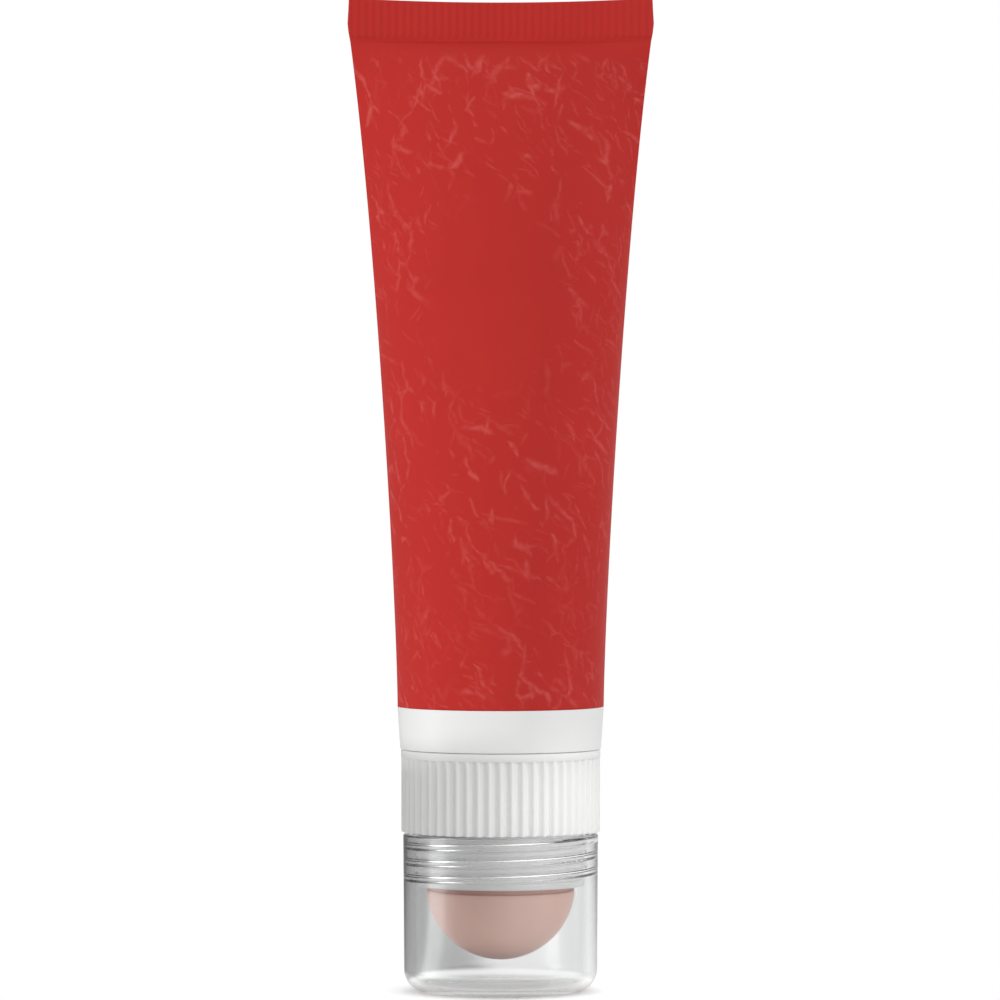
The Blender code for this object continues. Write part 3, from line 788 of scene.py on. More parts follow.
def make_liner(material):
    """The sealing disc, with two pressed rings on each face."""
    half_groove = 0.5 * MM
    pressed = 0.07 * MM
    lower = [(0.0, 0.0)]
    for r in (2.6 * MM, 5.2 * MM):
        lower += [
            (r - half_groove, 0.0),
            (r - half_groove / 2, pressed),
            (r + half_groove / 2, pressed),
            (r + half_groove, 0.0),
        ]
    upper = [(r, LINER_THICKNESS - z) for r, z in reversed(lower)]
    rim = [(LINER_R - 0.12 * MM, 0.0), (LINER_R - 0.03 * MM, 0.03 * MM), (LINER_R, 0.14 * MM)]
    rim_top = [(r, LINER_THICKNESS - z) for r, z in reversed(rim)]
    liner = spun("sealing_disc", lifted([*lower, *rim, *rim_top, *upper], LINER_Z), 120)
    liner.data.materials.append(material)
    return finish_shell(liner, 50)


def make_screw(threads, material):
    """The lifting screw: a hexagonal head in the web and a two-start thread down to its end."""
    core_r = SCREW_R - 0.25 * MM
    top = WEB_Z + WEB_THICKNESS
    neck_z = top - SCREW_HEAD_HEIGHT
    profile = [
        (0.0, SCREW_END_Z),
        (core_r - 0.5 * MM, SCREW_END_Z),
        (core_r - 0.15 * MM, SCREW_END_Z + 0.15 * MM),
        (core_r, SCREW_END_Z + 0.5 * MM),
        (core_r, WEB_Z - 1.0 * MM),
        (SCREW_R, WEB_Z - 0.6 * MM),
        (SCREW_R, neck_z),
        (SCREW_HEAD_R, neck_z),
        (SCREW_HEAD_R, top),
        (0.0, top),
    ]
    screw = spun("lifting_screw", with_rows(profile, core_r, 0.12 * MM), 96, SCREW_HEAD_R)
    grow(
        screw,
        threads,
        material,
        wall_radius=core_r,
        height=LIFT_THREAD_HEIGHT,
        start=SCREW_END_Z + 0.4 * MM,
        end=WEB_Z - 1.0 * MM,
        run=0.6 * MM,
        turn=0.0,
        **LIFT_THREAD,
    )
    return finish_shell(screw, 50)


def make_barrel(threads, ridges, material):
    """The barrel: a bead at its rim, the thread for the clear cap, a snap flange and keys inside."""
    top = WEB_Z - FIT_GAP - RIM_Z
    flange = top - FLANGE_HEIGHT
    bead_r = BARREL_R + BARREL_BEAD
    key_row = KEY_Z - RIM_Z
    profile = filleted(
        [
            (BARREL_BORE_R, 0.0, 0.3 * MM),
            (bead_r, 0.0, 0.3 * MM),
            (bead_r, BARREL_BEAD_HEIGHT, 0.1 * MM),
            (BARREL_R, BARREL_BEAD_HEIGHT + BARREL_BEAD, 0.1 * MM),
            (BARREL_R, flange, 0.1 * MM),
            (FLANGE_R, flange, 0.12 * MM),
            (FLANGE_R, top, 0.12 * MM),
            (BARREL_BORE_R, top, 0.2 * MM),
            (BARREL_BORE_R, top - 0.4 * MM),
            (BARREL_BORE_R, top - 0.6 * MM),
            (BARREL_BORE_R, key_row + 0.4 * MM),
            (BARREL_BORE_R, key_row + 0.2 * MM),
            (BARREL_BORE_R, key_row),
        ]
    )
    profile = with_rows(lifted(profile, RIM_Z), BARREL_R, FINE_THREAD_ROW)
    barrel = spun("balm_barrel_moulding", profile, 2 * TURN_COLUMNS)
    grow(
        barrel,
        threads,
        material,
        wall_radius=BARREL_R,
        reach=0.06 * MM,
        height=BARREL_THREAD_HEIGHT,
        start=RIM_Z + 1.3 * MM,
        end=COLLAR_Z - 0.3 * MM,
        run=0.6 * MM,
        crest=0.14,
        flank=0.22,
        turn=0.3,
        **CAP_THREAD,
    )
    grow(
        barrel,
        ridges,
        material,
        wall_radius=BARREL_BORE_R,
        reach=0.06 * MM,
        height=-KEY_DEPTH,
        start=KEY_Z,
        end=WEB_Z - FIT_GAP - 0.4 * MM,
        crest=KEY_WIDTH * KEY_COUNT / (math.tau * BARREL_BORE_R),
        **KEYS,
    )
    return finish_shell(barrel, 50)


def key_grooves(piece, ridges, material, wall_r, start, end):
    """Cuts the grooves that let the barrel's keys pass."""
    grow(
        piece,
        ridges,
        material,
        wall_radius=wall_r,
        reach=0.3 * MM,
        height=BARREL_BORE_R - KEY_DEPTH - FIT_GAP - wall_r,
        start=start,
        end=end,
        crest=(KEY_WIDTH + 2 * FIT_GAP) * KEY_COUNT / (math.tau * wall_r),
        **KEYS,
    )


def make_balm(ridges, material):
    """The cast stick: a half-round end, a round shank and a hole for the nut and the screw."""
    nut_end = CARRIER_Z - NUT_LENGTH - FIT_GAP
    nut_hole_r = NUT_R + FIT_GAP
    groove_foot = KEY_Z - STROKE_IN - FIT_GAP
    profile = [
        *arc(0.0, RIM_Z, BALM_R, -90, -6, 48),
        (BALM_R - 0.15 * MM, RIM_Z - 0.85 * MM),
        (BALM_R - BALM_WAIST, RIM_Z - 0.68 * MM),
        (BALM_R - BALM_WAIST, RIM_Z - 0.1 * MM),
        (BALM_R, RIM_Z + 0.3 * MM),
        (BALM_R, groove_foot),
        (BALM_R, groove_foot + 0.2 * MM),
        (BALM_R, groove_foot + 0.4 * MM),
        (BALM_R, BALM_TOP_Z),
        (nut_hole_r, BALM_TOP_Z),
        (nut_hole_r, nut_end),
        (SCREW_HOLE_R, nut_end),
        (SCREW_HOLE_R, BALM_HOLE_Z),
        (0.0, BALM_HOLE_Z),
    ]
    balm = spun("balm_stick", profile, 2 * TURN_COLUMNS)
    key_grooves(balm, ridges, material, BALM_R, groove_foot, BALM_TOP_Z + 1.0 * MM)
    return finish_shell(balm)


def make_carrier(threads, ridges, material):
    """The plate behind the balm, with the nut that climbs the screw."""
    bottom = CARRIER_Z - NUT_LENGTH
    top = CARRIER_Z + CARRIER_HEIGHT
    profile = filleted(
        [
            (SCREW_HOLE_R, bottom, 0.15 * MM),
            (NUT_R, bottom, 0.3 * MM),
            (NUT_R, CARRIER_Z, 0.2 * MM),
            (BALM_R, CARRIER_Z, 0.1 * MM),
            (BALM_R, top, 0.25 * MM),
            (SCREW_HOLE_R, top, 0.15 * MM),
        ]
    )
    profile = with_rows(profile, SCREW_HOLE_R, 0.12 * MM)
    carrier = spun("balm_carrier_moulding", profile, 2 * TURN_COLUMNS)
    key_grooves(carrier, ridges, material, BALM_R, CARRIER_Z - 1.0 * MM, top + 1.0 * MM)
    grow(
        carrier,
        threads,
        material,
        wall_radius=SCREW_HOLE_R,
        height=-NUT_THREAD_DEPTH,
        start=bottom + 0.3 * MM,
        end=CARRIER_Z + 0.5 * MM,
        run=0.5 * MM,
        turn=0.25,
        **LIFT_THREAD,
    )
    return finish_shell(carrier, 50)


def make_clear_cap(threads, material):
    """The clear cap: a rounded foot, a shallow recess under it and a thread inside its mouth."""
    foot_corner = CAP_FOOT_R - CAP_CORNER
    inner_corner = CAP_FLOOR_R - CAP_INNER_CORNER
    wall_foot = CAP_FLOOR + CAP_INNER_CORNER
    wall_top = CAP_HEIGHT - 0.45 * MM
    thread_foot = RIM_Z + 0.3 * MM
    mouth_r = CAP_BORE_R + 0.03 * MM
    draft = mouth_r - CAP_FLOOR_R
    thread_foot_r = CAP_FLOOR_R + draft * (thread_foot - wall_foot) / (wall_top - wall_foot)
    profile = [
        (0.0, CAP_RECESS_DEPTH),
        (CAP_RECESS_R - 2.2 * CAP_RECESS_DEPTH, CAP_RECESS_DEPTH),
        (CAP_RECESS_R - 1.2 * CAP_RECESS_DEPTH, 0.8 * CAP_RECESS_DEPTH),
        (CAP_RECESS_R - 0.3 * CAP_RECESS_DEPTH, 0.15 * CAP_RECESS_DEPTH),
        (CAP_RECESS_R + 0.4 * CAP_RECESS_DEPTH, 0.0),
        *arc(foot_corner, CAP_CORNER, CAP_CORNER, -90, 0, 16),
        *arc(CAP_R - 0.3 * MM, CAP_HEIGHT - 0.3 * MM, 0.3 * MM, 0, 90, 4),
        (CAP_BORE_R + 0.45 * MM, CAP_HEIGHT),
        (CAP_BORE_R + 0.2 * MM, CAP_HEIGHT - 0.1 * MM),
        (mouth_r, wall_top),
        (thread_foot_r, thread_foot),
        *arc(inner_corner, wall_foot, CAP_INNER_CORNER, 0, -90, 12),
        (0.0, CAP_FLOOR),
    ]
    profile = with_rows(profile, (CAP_BORE_R + CAP_FLOOR_R) / 2, CLEAR_THREAD_ROW, 0.12 * MM, thread_foot)
    cap = spun("clear_screw_cap", profile, THREAD_COLUMNS)
    grow(
        cap,
        threads,
        material,
        wall_radius=CAP_BORE_R,
        reach=0.12 * MM,
        height=-CAP_THREAD_HEIGHT,
        start=RIM_Z + 0.5 * MM,
        end=CAP_HEIGHT - 0.5 * MM,
        run=0.7 * MM,
        crest=0.12,
        flank=0.2,
        turn=0.8,
        **CAP_THREAD,
    )
    return finish_shell(cap)


# Finishes

SKIN_NUMBERS = ("Drift Size", "Grain Size", "Gloss", "Gloss Spread")
STROKE_NUMBERS = ("Lean", "Spread", "Spacing", "Length", "Width", "Share", "Patch Floor")
CRUMPLE_NUMBERS = ("Lean", "Cell Width", "Cell Length", "Width", "Kept Floor", "Patch Floor")
STROKE_BEND = 0.08
STROKE_SEED_STEP = 11.3
CRUMPLE_SEED_STEP = 17.7
CRUMPLE_FIRST_SEED = 3.1


def mask_group(name, inputs, outputs):
    """A shader group with the named number inputs and outputs."""
    tree = bpy.data.node_groups.new(name, "ShaderNodeTree")
    for label in inputs:
        tree.interface.new_socket(label, in_out="INPUT", socket_type="NodeSocketFloat")
    for label in outputs:
        tree.interface.new_socket(label, in_out="OUTPUT", socket_type="NodeSocketFloat")
    graph = Graph(tree)
    return graph, graph.add("NodeGroupInput").outputs


def moulded_skin_group():
    """Slow drifts of tone and gloss with a fine grain, as on any moulded or coated surface."""
    graph, given = mask_group("moulded skin", SKIN_NUMBERS, ("Tone", "Gloss", "Relief"))
    in_mm = graph.scaled(graph.add("ShaderNodeTexCoord").outputs["Object"], 1 / MM)
    drift = graph.noise(in_mm, graph.over(1.0, given["Drift Size"]), 3.0)
    grain = graph.noise(in_mm, graph.over(1.0, given["Grain Size"]))
    gloss = graph.times_plus(graph.minus(drift, 0.5), given["Gloss Spread"], given["Gloss"])
    finer = graph.times(graph.minus(grain, 0.5), given["Gloss Spread"])
    feeds = {"Tone": drift, "Gloss": graph.plus(gloss, finer), "Relief": grain}
    graph.add("NodeGroupOutput", feeds)
    return graph.tree


def film_place(graph):
    """Where a point lies on the unrolled film, in millimetres."""
    return graph.add("ShaderNodeUVMap", uv_map="film").outputs[0]


def cell_place(graph, across, along, width, length, seed):
    """Counts cells of this width and length."""
    return graph.vector(
        graph.plus(graph.over(across, width), seed),
        graph.plus(graph.over(along, length), seed),
    )


def patches(graph, u, v, seed, scale, floor):
    """Soft-edged patches, wider where floor is lower."""
    field = graph.noise(graph.vector(u, v, seed), scale)
    return graph.smooth(field, floor, graph.plus(floor, 0.1))


def crease_stroke_group():
    """Short tapered strokes, one to a cell, that lean one way with some spread."""
    graph, given = mask_group("crease strokes", (*STROKE_NUMBERS, "Seed"), ("Strokes",))
    place = film_place(graph)
    u, v, _ = graph.split(place)
    slow_bend = graph.times(graph.minus(graph.noise(place, 0.13), 0.5), 5.0)
    quick_bend = graph.times(graph.minus(graph.noise(place, 0.45), 0.5), 1.7)
    moved = graph.plus(graph.plus(u, slow_bend), quick_bend)
    across, along = graph.turned(moved, v, given["Lean"])
    cell = cell_place(graph, across, along, given["Spacing"], given["Length"], given["Seed"])
    spots = graph.cells(cell, "F1")
    off_x, off_y, _ = graph.split(graph.vector_math("SUBTRACT", cell, spots["Position"])[0])
    first, second, third = graph.split(spots["Color"])
    reach = graph.times(off_y, given["Length"])
    slant = graph.times(graph.minus(first, 0.5), given["Spread"])
    curve = graph.times(graph.minus(second, 0.5), STROKE_BEND)
    shear = graph.times(reach, graph.times_plus(reach, curve, slant))
    side = graph.math("ABSOLUTE", graph.times_plus(off_x, given["Spacing"], shear))
    half_length = graph.times(given["Length"], graph.times_plus(third, 0.3, 0.16))
    run = graph.over(reach, half_length)
    taper = graph.math("MAXIMUM", graph.times_plus(graph.times(run, run), -1.0, 1.0), 0.0)
    width = graph.times_plus(graph.math("SQRT", taper), given["Width"], 0.001)
    line = graph.times(graph.smooth(side, 0.0, width, 1.0, 0.0), graph.smooth(taper, 0.0, 0.3))
    draw = graph.math("FRACT", graph.times_plus(first, 7.13, graph.times(third, 3.71)))
    floor = graph.minus(1.0, given["Share"])
    kept = graph.smooth(draw, floor, graph.plus(floor, 0.35))
    patch = patches(graph, u, v, given["Seed"], 0.075, given["Patch Floor"])
    graph.add("NodeGroupOutput", {"Strokes": graph.times(line, kept, patch)})
    return graph.tree


def crumple_group():
    """A broken net of bent lines, as in film that was crumpled and smoothed out again."""
    graph, given = mask_group("crumple lines", (*CRUMPLE_NUMBERS, "Seed"), ("Lines",))
    place = film_place(graph)
    u, v, _ = graph.split(place)
    bend = graph.add("ShaderNodeTexNoise", {"Vector": place, "Scale": 0.3, "Detail": 2.0}).outputs["Color"]
    centred = graph.vector_math("SUBTRACT", bend, (0.5, 0.5, 0.5))[0]
    moved = graph.vector_math("ADD", place, graph.scaled(centred, 3.0))[0]
    moved_u, moved_v, _ = graph.split(moved)
    across, along = graph.turned(moved_u, moved_v, given["Lean"])
    cell = cell_place(graph, across, along, given["Cell Width"], given["Cell Length"], given["Seed"])
    off_line = graph.times(graph.cells(cell, "DISTANCE_TO_EDGE")["Distance"], given["Cell Width"])
    kept = patches(graph, u, v, given["Seed"], 0.22, given["Kept Floor"])
    patch = patches(graph, u, v, graph.plus(given["Seed"], 40.0), 0.07, given["Patch Floor"])
    reach = graph.times(given["Width"], graph.times_plus(kept, 0.7, 0.3))
    line = graph.smooth(off_line, 0.0, reach, 1.0, 0.0)
    graph.add("NodeGroupOutput", {"Lines": graph.times(line, graph.times(kept, patch))})
    return graph.tree


CRUMPLE_LAYERS = (
    # lean in degrees; cell width, cell length and line width in mm; kept floor; patch floor; strength
    (38.0, 6.0, 12.0, 0.52, 0.50, 0.42, 0.95),
    (10.0, 4.0, 8.5, 0.42, 0.52, 0.45, 0.8),
    (54.0, 2.4, 5.0, 0.32, 0.52, 0.46, 0.6),
)
STROKE_LAYERS = (
    # lean in degrees from upright, down to the right; spread; spacing, length and width in mm;
    # share kept; patch floor; strength
    (48.0, 0.5, 5.0, 15.0, 0.70, 0.4, 0.44, 0.9),
    (12.0, 0.5, 4.6, 13.0, 0.66, 0.35, 0.45, 0.9),
    (40.0, 0.7, 2.6, 8.0, 0.52, 0.45, 0.45, 0.8),
    (2.0, 0.7, 2.4, 7.0, 0.50, 0.45, 0.46, 0.8),
    (66.0, 0.5, 2.6, 8.5, 0.52, 0.4, 0.48, 0.8),
    (-34.0, 0.6, 2.4, 5.0, 0.46, 0.35, 0.49, 0.7),
    (26.0, 0.9, 1.2, 4.6, 0.36, 0.5, 0.45, 0.5),
    (54.0, 0.8, 0.9, 3.6, 0.32, 0.5, 0.45, 0.5),
)
CREASED_BY_HEIGHT = (
    # share of the sleeve's length, how strongly it is creased
    (0.0, 1.0),
    (0.08, 0.9),
    (0.16, 0.5),
    (0.27, 0.9),
    (0.42, 0.9),
    (0.52, 0.6),
    (0.62, 0.7),
    (0.74, 0.9),
    (0.965, 0.95),
    (0.985, 0.0),
)
SMOOTH_PATCH_U, SMOOTH_PATCH_V = 46.0, 101.0
SMOOTH_PATCH_WIDE, SMOOTH_PATCH_HIGH = 9.5, 15.0


def fill_ramp(node, stops):
    """Gives a colour ramp these stops: place and grey level."""
    ramp = node.color_ramp
    ramp.interpolation = "EASE"
    while len(ramp.elements) < len(stops):
        ramp.elements.new(0.5)
    for element, (place, level) in zip(ramp.elements, stops):
        element.position = place
        element.color = (level, level, level, 1.0)


def film_crease_group():
    """Fine broken creases in a soft printed film, with one smoother patch on its front."""
    kinds = (
        (crumple_group(), CRUMPLE_NUMBERS, CRUMPLE_LAYERS, CRUMPLE_FIRST_SEED, CRUMPLE_SEED_STEP),
        (crease_stroke_group(), STROKE_NUMBERS, STROKE_LAYERS, 0.0, STROKE_SEED_STEP),
    )
    graph, _ = mask_group("film creases", (), ("Creases",))
    total = 0.0
    for tree, labels, layers, first_seed, seed_step in kinds:
        for number, (*values, strength) in enumerate(layers):
            feeds = dict(zip(labels, values))
            feeds["Seed"] = seed_step * number + first_seed
            drawn = graph.times(graph.place_group(tree, feeds)[0], strength)
            total = graph.math("MAXIMUM", total, drawn)
    u, v, _ = graph.split(film_place(graph))
    climb = graph.over(graph.minus(v, SLEEVE_Z / MM), SLEEVE_LENGTH / MM)
    ramp = graph.add("ShaderNodeValToRGB", {0: climb})
    fill_ramp(ramp, CREASED_BY_HEIGHT)
    patch_u = graph.over(graph.minus(u, SMOOTH_PATCH_U), SMOOTH_PATCH_WIDE)
    patch_v = graph.over(graph.minus(v, SMOOTH_PATCH_V), SMOOTH_PATCH_HIGH)
    away = graph.vector_math("LENGTH", graph.vector(patch_u, patch_v))[1]
    dense = graph.times(ramp.outputs[0], graph.smooth(away, 0.75, 1.25))
    worn = graph.smooth(graph.noise(graph.vector(u, v), 0.7, 3.0), 0.36, 0.6, 0.35, 1.0)
    graph.add("NodeGroupOutput", {"Creases": graph.times(total, dense, worn)})
    return graph.tree


def finish_material(name, **constants):
    """A Principled material with its plain values set. Keys are socket names in lower case."""
    made = bpy.data.materials.new(name)
    made.use_nodes = True
    graph = Graph(made.node_tree)
    shader = made.node_tree.nodes["Principled BSDF"]
    labels = {socket.name.lower().replace(" ", "_"): socket for socket in shader.inputs}
    for label, value in constants.items():
        labels[label].default_value = value
    return made, graph, shader


def skinned(name, skin, numbers, **constants):
    """A material with the moulded skin placed in it. The numbers are drift, grain, gloss and its spread."""
    made, graph, shader = finish_material(name, **constants)
    return made, graph, shader, graph.place_group(skin, dict(zip(SKIN_NUMBERS, numbers)))


def dress(graph, shader, tone, surface, height, depth):
    """Gives a material its colour, its gloss and a fine relief."""
    graph.join(tone, shader.inputs["Base Color"])
    graph.join(surface["Gloss"], shader.inputs["Roughness"])
    bump = graph.add("ShaderNodeBump", {"Height": height, "Distance": depth, "Strength": 1.0})
    graph.join(bump.outputs[0], shader.inputs["Normal"])


def plain_finish(name, skin, dark, light, numbers, depth=0.004 * MM, **constants):
    """A material that drifts between two near tones."""
    made, graph, shader, surface = skinned(name, skin, numbers, **constants)
    tone = graph.blend(surface["Tone"], (*dark, 1.0), (*light, 1.0))
    dress(graph, shader, tone, surface, surface["Relief"], depth)
    return made


def film_finish(skin, creases):
    """Red printed film with light creases."""
    numbers = (14.0, 0.5, 0.5, 0.08)
    made, graph, shader, surface = skinned("printed_red_film", skin, numbers, specular_ior_level=0.05)
    lines = graph.place_group(creases, {})["Creases"]
    deep_red = (0.515, 0.0315, 0.0265, 1.0)
    light_red = (0.57, 0.037, 0.0315, 1.0)
    crease_red = (0.665, 0.0925, 0.083, 1.0)
    tone = graph.blend(lines, graph.blend(surface["Tone"], deep_red, light_red), crease_red)
    height = graph.times_plus(surface["Relief"], 0.06, lines)
    dress(graph, shader, tone, surface, height, 0.06 * MM)
    return made


def balm_finish(skin):
    """Waxy balm, with a painted shade in the waist under the barrel's rim."""
    numbers = (6.0, 0.8, 0.42, 0.12)
    made, graph, shader, surface = skinned("waxy_balm", skin, numbers, specular_ior_level=0.35)
    body = graph.blend(surface["Tone"], (0.76, 0.46, 0.385, 1.0), (0.84, 0.54, 0.46, 1.0))
    x, y, z = graph.split(graph.add("ShaderNodeTexCoord").outputs["Object"])
    # Painted shade: the waist just under the barrel's rim is coloured dark red-brown, standing in for the
    # rim's shadow on the balm.
    inward = graph.smooth(graph.distance(x, y), BALM_R - BALM_WAIST, BALM_R - 0.05 * MM, 1.0, 0.0)
    below = graph.smooth(z, RIM_Z - 1.4 * MM, RIM_Z - 0.85 * MM)
    above = graph.smooth(z, RIM_Z, RIM_Z + 0.3 * MM, 1.0, 0.0)
    waist = graph.times(inward, graph.times(below, above))
    tone = graph.blend(waist, body, (0.56, 0.28, 0.22, 1.0))
    dress(graph, shader, tone, surface, surface["Relief"], 0.012 * MM)
    return made


def clear_finish(skin):
    """Clear plastic that lets the lamps reach what is behind it."""
    tint = (0.955, 0.96, 0.96)
    numbers = (12.0, 2.5, 0.06, 0.03)
    glassy = {"transmission_weight": 1.0, "ior": 1.5}
    made = plain_finish("clear_polystyrene", skin, tint, tint, numbers, 0.002 * MM, **glassy)
    graph = Graph(made.node_tree)
    shaded = graph.add("ShaderNodeLightPath").outputs["Is Shadow Ray"]
    through = graph.add("ShaderNodeBsdfTransparent", {"Color": (0.93, 0.93, 0.93, 1.0)}).outputs[0]
    nodes = made.node_tree.nodes
    mixed = graph.mix_shaders(shaded, nodes["Principled BSDF"].outputs[0], through)
    graph.join(mixed, nodes["Material Output"].inputs["Surface"])
    return made


def build_finishes():
    """Every finish of the object. Tones are linear; drift and grain are in millimetres."""
    skin = moulded_skin_group()
    return {
        "film": film_finish(skin, film_crease_group()),
        "white": plain_finish(
            "white_polypropylene",
            skin,
            (0.90, 0.90, 0.895),
            (0.93, 0.93, 0.925),
            (9.0, 0.35, 0.34, 0.05),
            specular_ior_level=0.3,
        ),
        "inner": plain_finish(
            "inner_polypropylene",
            skin,
            (0.88, 0.88, 0.875),
            (0.92, 0.92, 0.915),
            (9.0, 0.35, 0.3, 0.05),
            transmission_weight=0.15,
        ),
        "balm": balm_finish(skin),
        "foam": plain_finish(
            "liner_foam", skin, (0.78, 0.78, 0.77), (0.84, 0.84, 0.83), (9.0, 0.22, 0.85, 0.05), 0.03 * MM
        ),
        "cream": plain_finish(
            "soft_cream", skin, (0.83, 0.78, 0.66), (0.87, 0.82, 0.71), (9.0, 1.5, 0.5, 0.1), 0.05 * MM
        ),
        "clear": clear_finish(skin),
    }


# Studio

WHITE = (1.0, 1.0, 1.0, 1.0)
CAMERA_SENSOR = 36.0
CAMERA_LENS = 237.0
CAMERA_PLACE = (-0.0001, -0.957, 0.0875)
CAMERA_AIM = (-0.0001, 0.0, 0.0715)

# Distances out from the foot over which the floor changes
TONED_FROM_TO = (0.016, 0.036)
PATCH_FADES_FROM_TO = (0.0175, 0.032)
# The floor's lifting glow fades out towards the foot: a painted shade around the foot, over its real
# shadow.
LIFT_FROM_TO = (0.007, 0.018)
LIFT_LEVELS = (0.05, 0.57)

SURROUND = (
    # degrees round the object, 0 towards the camera and 90 to its right, and how bright it is there
    (-180, 0.8),
    (-176, 0.6),
    (-171, 0.36),
    (-166, 0.3),
    (-158, 0.44),
    (-148, 0.56),
    (-130, 0.46),
    (-108, 0.28),
    (-75, 0.22),
    (-48, 0.38),
    (-20, 0.76),
    (0, 1.0),
    (24, 1.13),
    (42, 1.22),
    (58, 1.3),
    (80, 1.2),
    (104, 0.88),
    (128, 0.7),
    (150, 0.62),
    (164, 0.7),
    (172, 0.74),
    (177, 0.8),
    (180, 0.8),
)
SHINE = (
    # the same round, as mirrors and gloss see it
    (-180, 0.85),
    (-171, 0.4),
    (-160, 0.34),
    (-120, 0.4),
    (-104, 0.5),
    (-97, 1.1),
    (-91, 2.7),
    (-76, 2.7),
    (-64, 1.1),
    (-50, 0.55),
    (-30, 0.5),
    (-12, 0.68),
    (0, 0.9),
    (20, 1.2),
    (45, 1.35),
    (75, 1.15),
    (98, 1.0),
    (122, 0.9),
    (150, 0.8),
    (180, 0.85),
)


def surround_group():
    """How bright the studio is in each direction round the object: as a light, and as mirrors see it."""
    tree = bpy.data.node_groups.new("studio surround", "ShaderNodeTree")
    tree.interface.new_socket("Direction", in_out="INPUT", socket_type="NodeSocketVector")
    tree.interface.new_socket("Level", in_out="OUTPUT", socket_type="NodeSocketFloat")
    tree.interface.new_socket("Shine", in_out="OUTPUT", socket_type="NodeSocketFloat")
    graph = Graph(tree)
    x, y, _ = graph.split(graph.add("NodeGroupInput").outputs[0])
    angle = graph.math("ARCTAN2", x, graph.times(y, -1.0))
    share = graph.times_plus(angle, 1 / math.tau, 0.5)
    feeds = {}
    for label, stops in (("Level", SURROUND), ("Shine", SHINE)):
        peak = max(level for _, level in stops)
        ramp = graph.add("ShaderNodeValToRGB", {0: share})
        fill_ramp(ramp, [(degrees / 360 + 0.5, level / peak) for degrees, level in stops])
        feeds[label] = graph.times(ramp.outputs[0], peak)
    graph.add("NodeGroupOutput", feeds)
    return tree


def studio_level(graph, direction, surround):
    """The studio's level in a direction, with the shine for rays that left a glossy surface."""
    studio = graph.place_group(surround, {"Direction": direction})
    mirrored = graph.add("ShaderNodeLightPath").outputs["Is Glossy Ray"]
    return graph.times_plus(graph.minus(studio["Shine"], studio["Level"]), mirrored, studio["Level"])


def glow(graph, strength):
    return graph.add("ShaderNodeEmission", {"Color": WHITE, "Strength": strength}).outputs[0]


def make_floor(surround):
    """A wide pale floor. In mirrors and glass it has the studio's tone.

    To the eye it is a soft patch that takes the object's shadow, with a painted shade where its lifting
    glow fades out towards the foot. Past the patch the eye looks through it to the white behind, so a piece
    that a joint carries below the floor still shows.
    """
    bm = bmesh.new()
    bmesh.ops.create_circle(bm, cap_ends=True, segments=96, radius=4.0)
    mesh = bpy.data.meshes.new("studio_floor")
    bm.to_mesh(mesh)
    bm.free()
    floor = placed("studio_floor", mesh)
    made, graph, shader = finish_material(
        "pale_floor", base_color=(0.8, 0.8, 0.8, 1.0), roughness=0.9, specular_ior_level=0.1
    )
    plain = shader.outputs[0]
    path = graph.add("ShaderNodeLightPath").outputs
    bounced = graph.math("MAXIMUM", path["Is Glossy Ray"], path["Is Transmission Ray"])
    seen = graph.math("MAXIMUM", path["Is Camera Ray"], bounced)
    place = graph.add("ShaderNodeTexCoord").outputs["Object"]
    x, y, _ = graph.split(place)
    away = graph.distance(x, y)
    toned = graph.times(bounced, graph.smooth(away, *TONED_FROM_TO))
    tone = studio_level(graph, place, surround)
    level = graph.times_plus(toned, graph.minus(tone, 1.0), 1.0)
    far = graph.math("MAXIMUM", toned, graph.smooth(away, *PATCH_FADES_FROM_TO))
    clear = graph.add("ShaderNodeBsdfTransparent", {"Color": WHITE}).outputs[0]
    past = graph.mix_shaders(path["Is Camera Ray"], glow(graph, level), clear)
    # Painted shade: this glow lifts the floor towards white but fades out near the foot, so the floor there
    # renders darker, on top of its real shadow.
    lift_fading_to_painted_shade = graph.times(level, graph.smooth(away, *LIFT_FROM_TO, *LIFT_LEVELS))
    near = graph.add("ShaderNodeAddShader", {0: plain, 1: glow(graph, lift_fading_to_painted_shade)}).outputs[0]
    ground = graph.mix_shaders(seen, plain, graph.mix_shaders(far, near, past))
    graph.join(ground, made.node_tree.nodes["Material Output"].inputs["Surface"])
    mesh.materials.append(made)


def make_world(surround, overhead):
    """White to the eye. Everything else sees the studio's surround, with an even light overhead."""
    world = bpy.data.worlds.new("studio")
    bpy.context.scene.world = world
    world.use_nodes = True
    graph = Graph(world.node_tree)
    direction = graph.add("ShaderNodeTexCoord").outputs["Generated"]
    _, _, height = graph.split(direction)
    around = studio_level(graph, direction, surround)
    above = graph.smooth(height, 0.5, 0.9)
    level = graph.times_plus(above, graph.minus(overhead, around), around)
    eye = graph.add("ShaderNodeLightPath").outputs["Is Camera Ray"]
    background = world.node_tree.nodes["Background"]
    background.inputs["Color"].default_value = WHITE
    graph.join(graph.times_plus(eye, graph.minus(1.0, level), level), background.inputs["Strength"])


def aimed(name, data, location, target):
    """A lamp or camera of the scene, turned towards a point."""
    holder = placed(name, data)
    holder.location = location
    aim = Vector(target) - Vector(location)
    holder.rotation_euler = aim.to_track_quat("-Z", "Y").to_euler()
    return holder


def make_softbox(name, location, target, width, height, power):
    lamp = bpy.data.lights.new(name, "AREA")
    lamp.shape = "RECTANGLE"
    lamp.size = width
    lamp.size_y = height
    lamp.energy = power
    aimed(name, lamp, location, target)


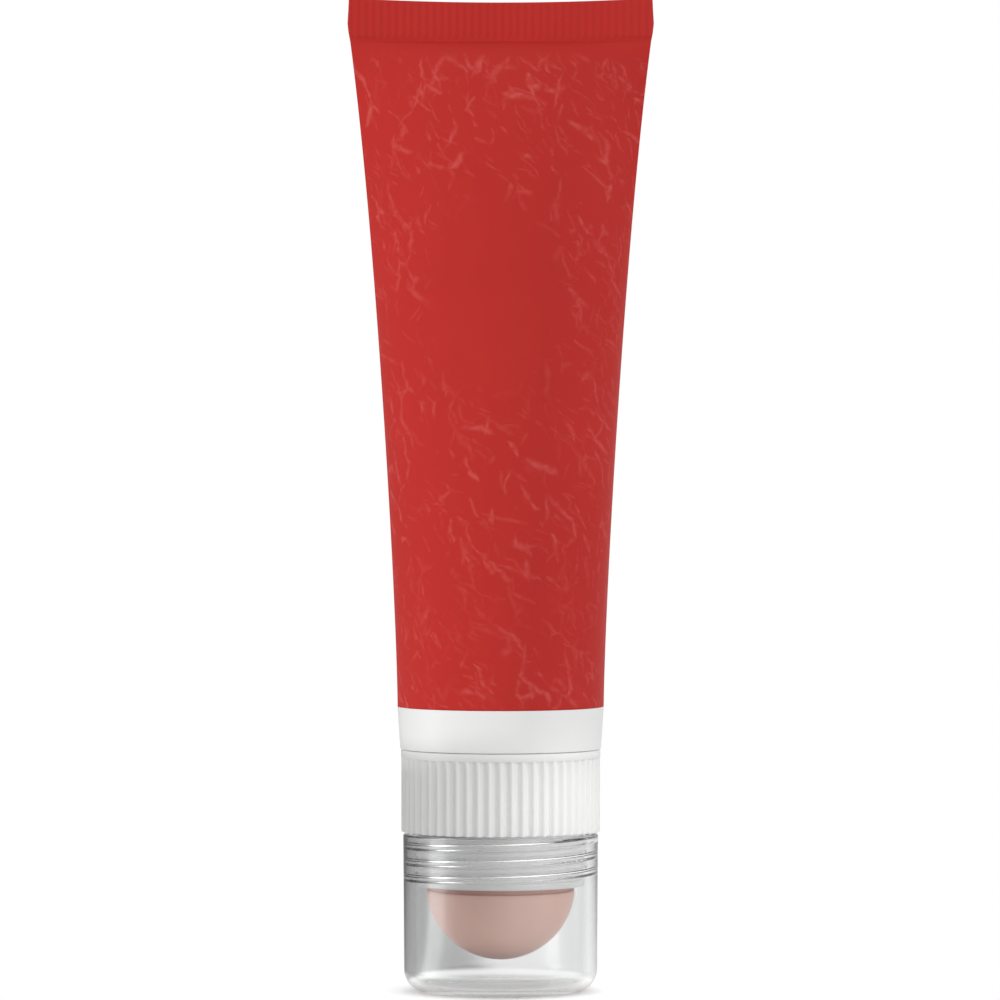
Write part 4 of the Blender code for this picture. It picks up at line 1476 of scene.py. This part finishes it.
def make_spot(name, degrees, distance, height, aim_height, radius, cone, edge, power):
    """A lamp that is kept to one stretch of the object. Degrees run round it: 90 is to its right."""
    lamp = bpy.data.lights.new(name, "SPOT")
    lamp.shadow_soft_size = radius
    lamp.spot_size = math.radians(cone)
    lamp.spot_blend = edge
    lamp.energy = power
    turn = math.radians(degrees)
    location = (distance * math.sin(turn), -distance * math.cos(turn), height)
    holder = aimed(name, lamp, location, (0.0, 0.0, aim_height))
    holder.visible_glossy = False
    holder.visible_transmission = False


def make_camera():
    camera = bpy.data.cameras.new("camera")
    camera.sensor_width = CAMERA_SENSOR
    camera.lens = CAMERA_LENS
    camera.clip_end = 20.0
    bpy.context.scene.camera = aimed("camera", camera, CAMERA_PLACE, CAMERA_AIM)


def seat(piece, body, node):
    """Puts a finished piece on its body in place of its plain solid."""
    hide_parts(node)
    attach(piece, body)


finishes = build_finishes()
threads = screw_thread_tree()
ridges = upright_ridge_tree()
folds = sleeve_tree()

seat(make_sleeve(folds, finishes["film"]), "tube", "tube_sleeve")
seat(make_head(threads, finishes["white"]), "tube", "tube_head")
seat(make_cream(folds, finishes["cream"]), "tube", "cream_fill")
seat(make_liner(finishes["foam"]), "liner", "seal_liner")
seat(make_collar(threads, ridges, finishes["white"]), "screw_cap", "grip_collar")
seat(make_screw(threads, finishes["inner"]), "screw_cap", "lift_screw")
seat(make_barrel(threads, ridges, finishes["inner"]), "barrel", "balm_barrel")
seat(make_carrier(threads, ridges, finishes["inner"]), "balm", "balm_carrier")
seat(make_balm(ridges, finishes["balm"]), "balm", "lip_balm")
seat(make_clear_cap(threads, finishes["clear"]), "cap", "clear_cap")

surround = surround_group()
make_floor(surround)
make_world(surround, overhead=0.65)
make_softbox(
    "top_softbox", location=(0.0, -0.35, 1.1), target=(0.0, 0.0, 0.07), width=0.7, height=0.5, power=0.7
)
make_spot(
    "left_lamp",
    degrees=-72,
    distance=0.8,
    height=0.04,
    aim_height=0.0942,
    radius=0.003,
    cone=8.6,
    edge=0.025,
    power=10.0,
)
make_spot(
    "low_right_lamp",
    degrees=42,
    distance=0.5,
    height=0.06,
    aim_height=0.0255,
    radius=0.006,
    cone=3.4,
    edge=1.0,
    power=2.2,
)
make_camera()

bpy.context.scene.view_settings.view_transform = "Standard"
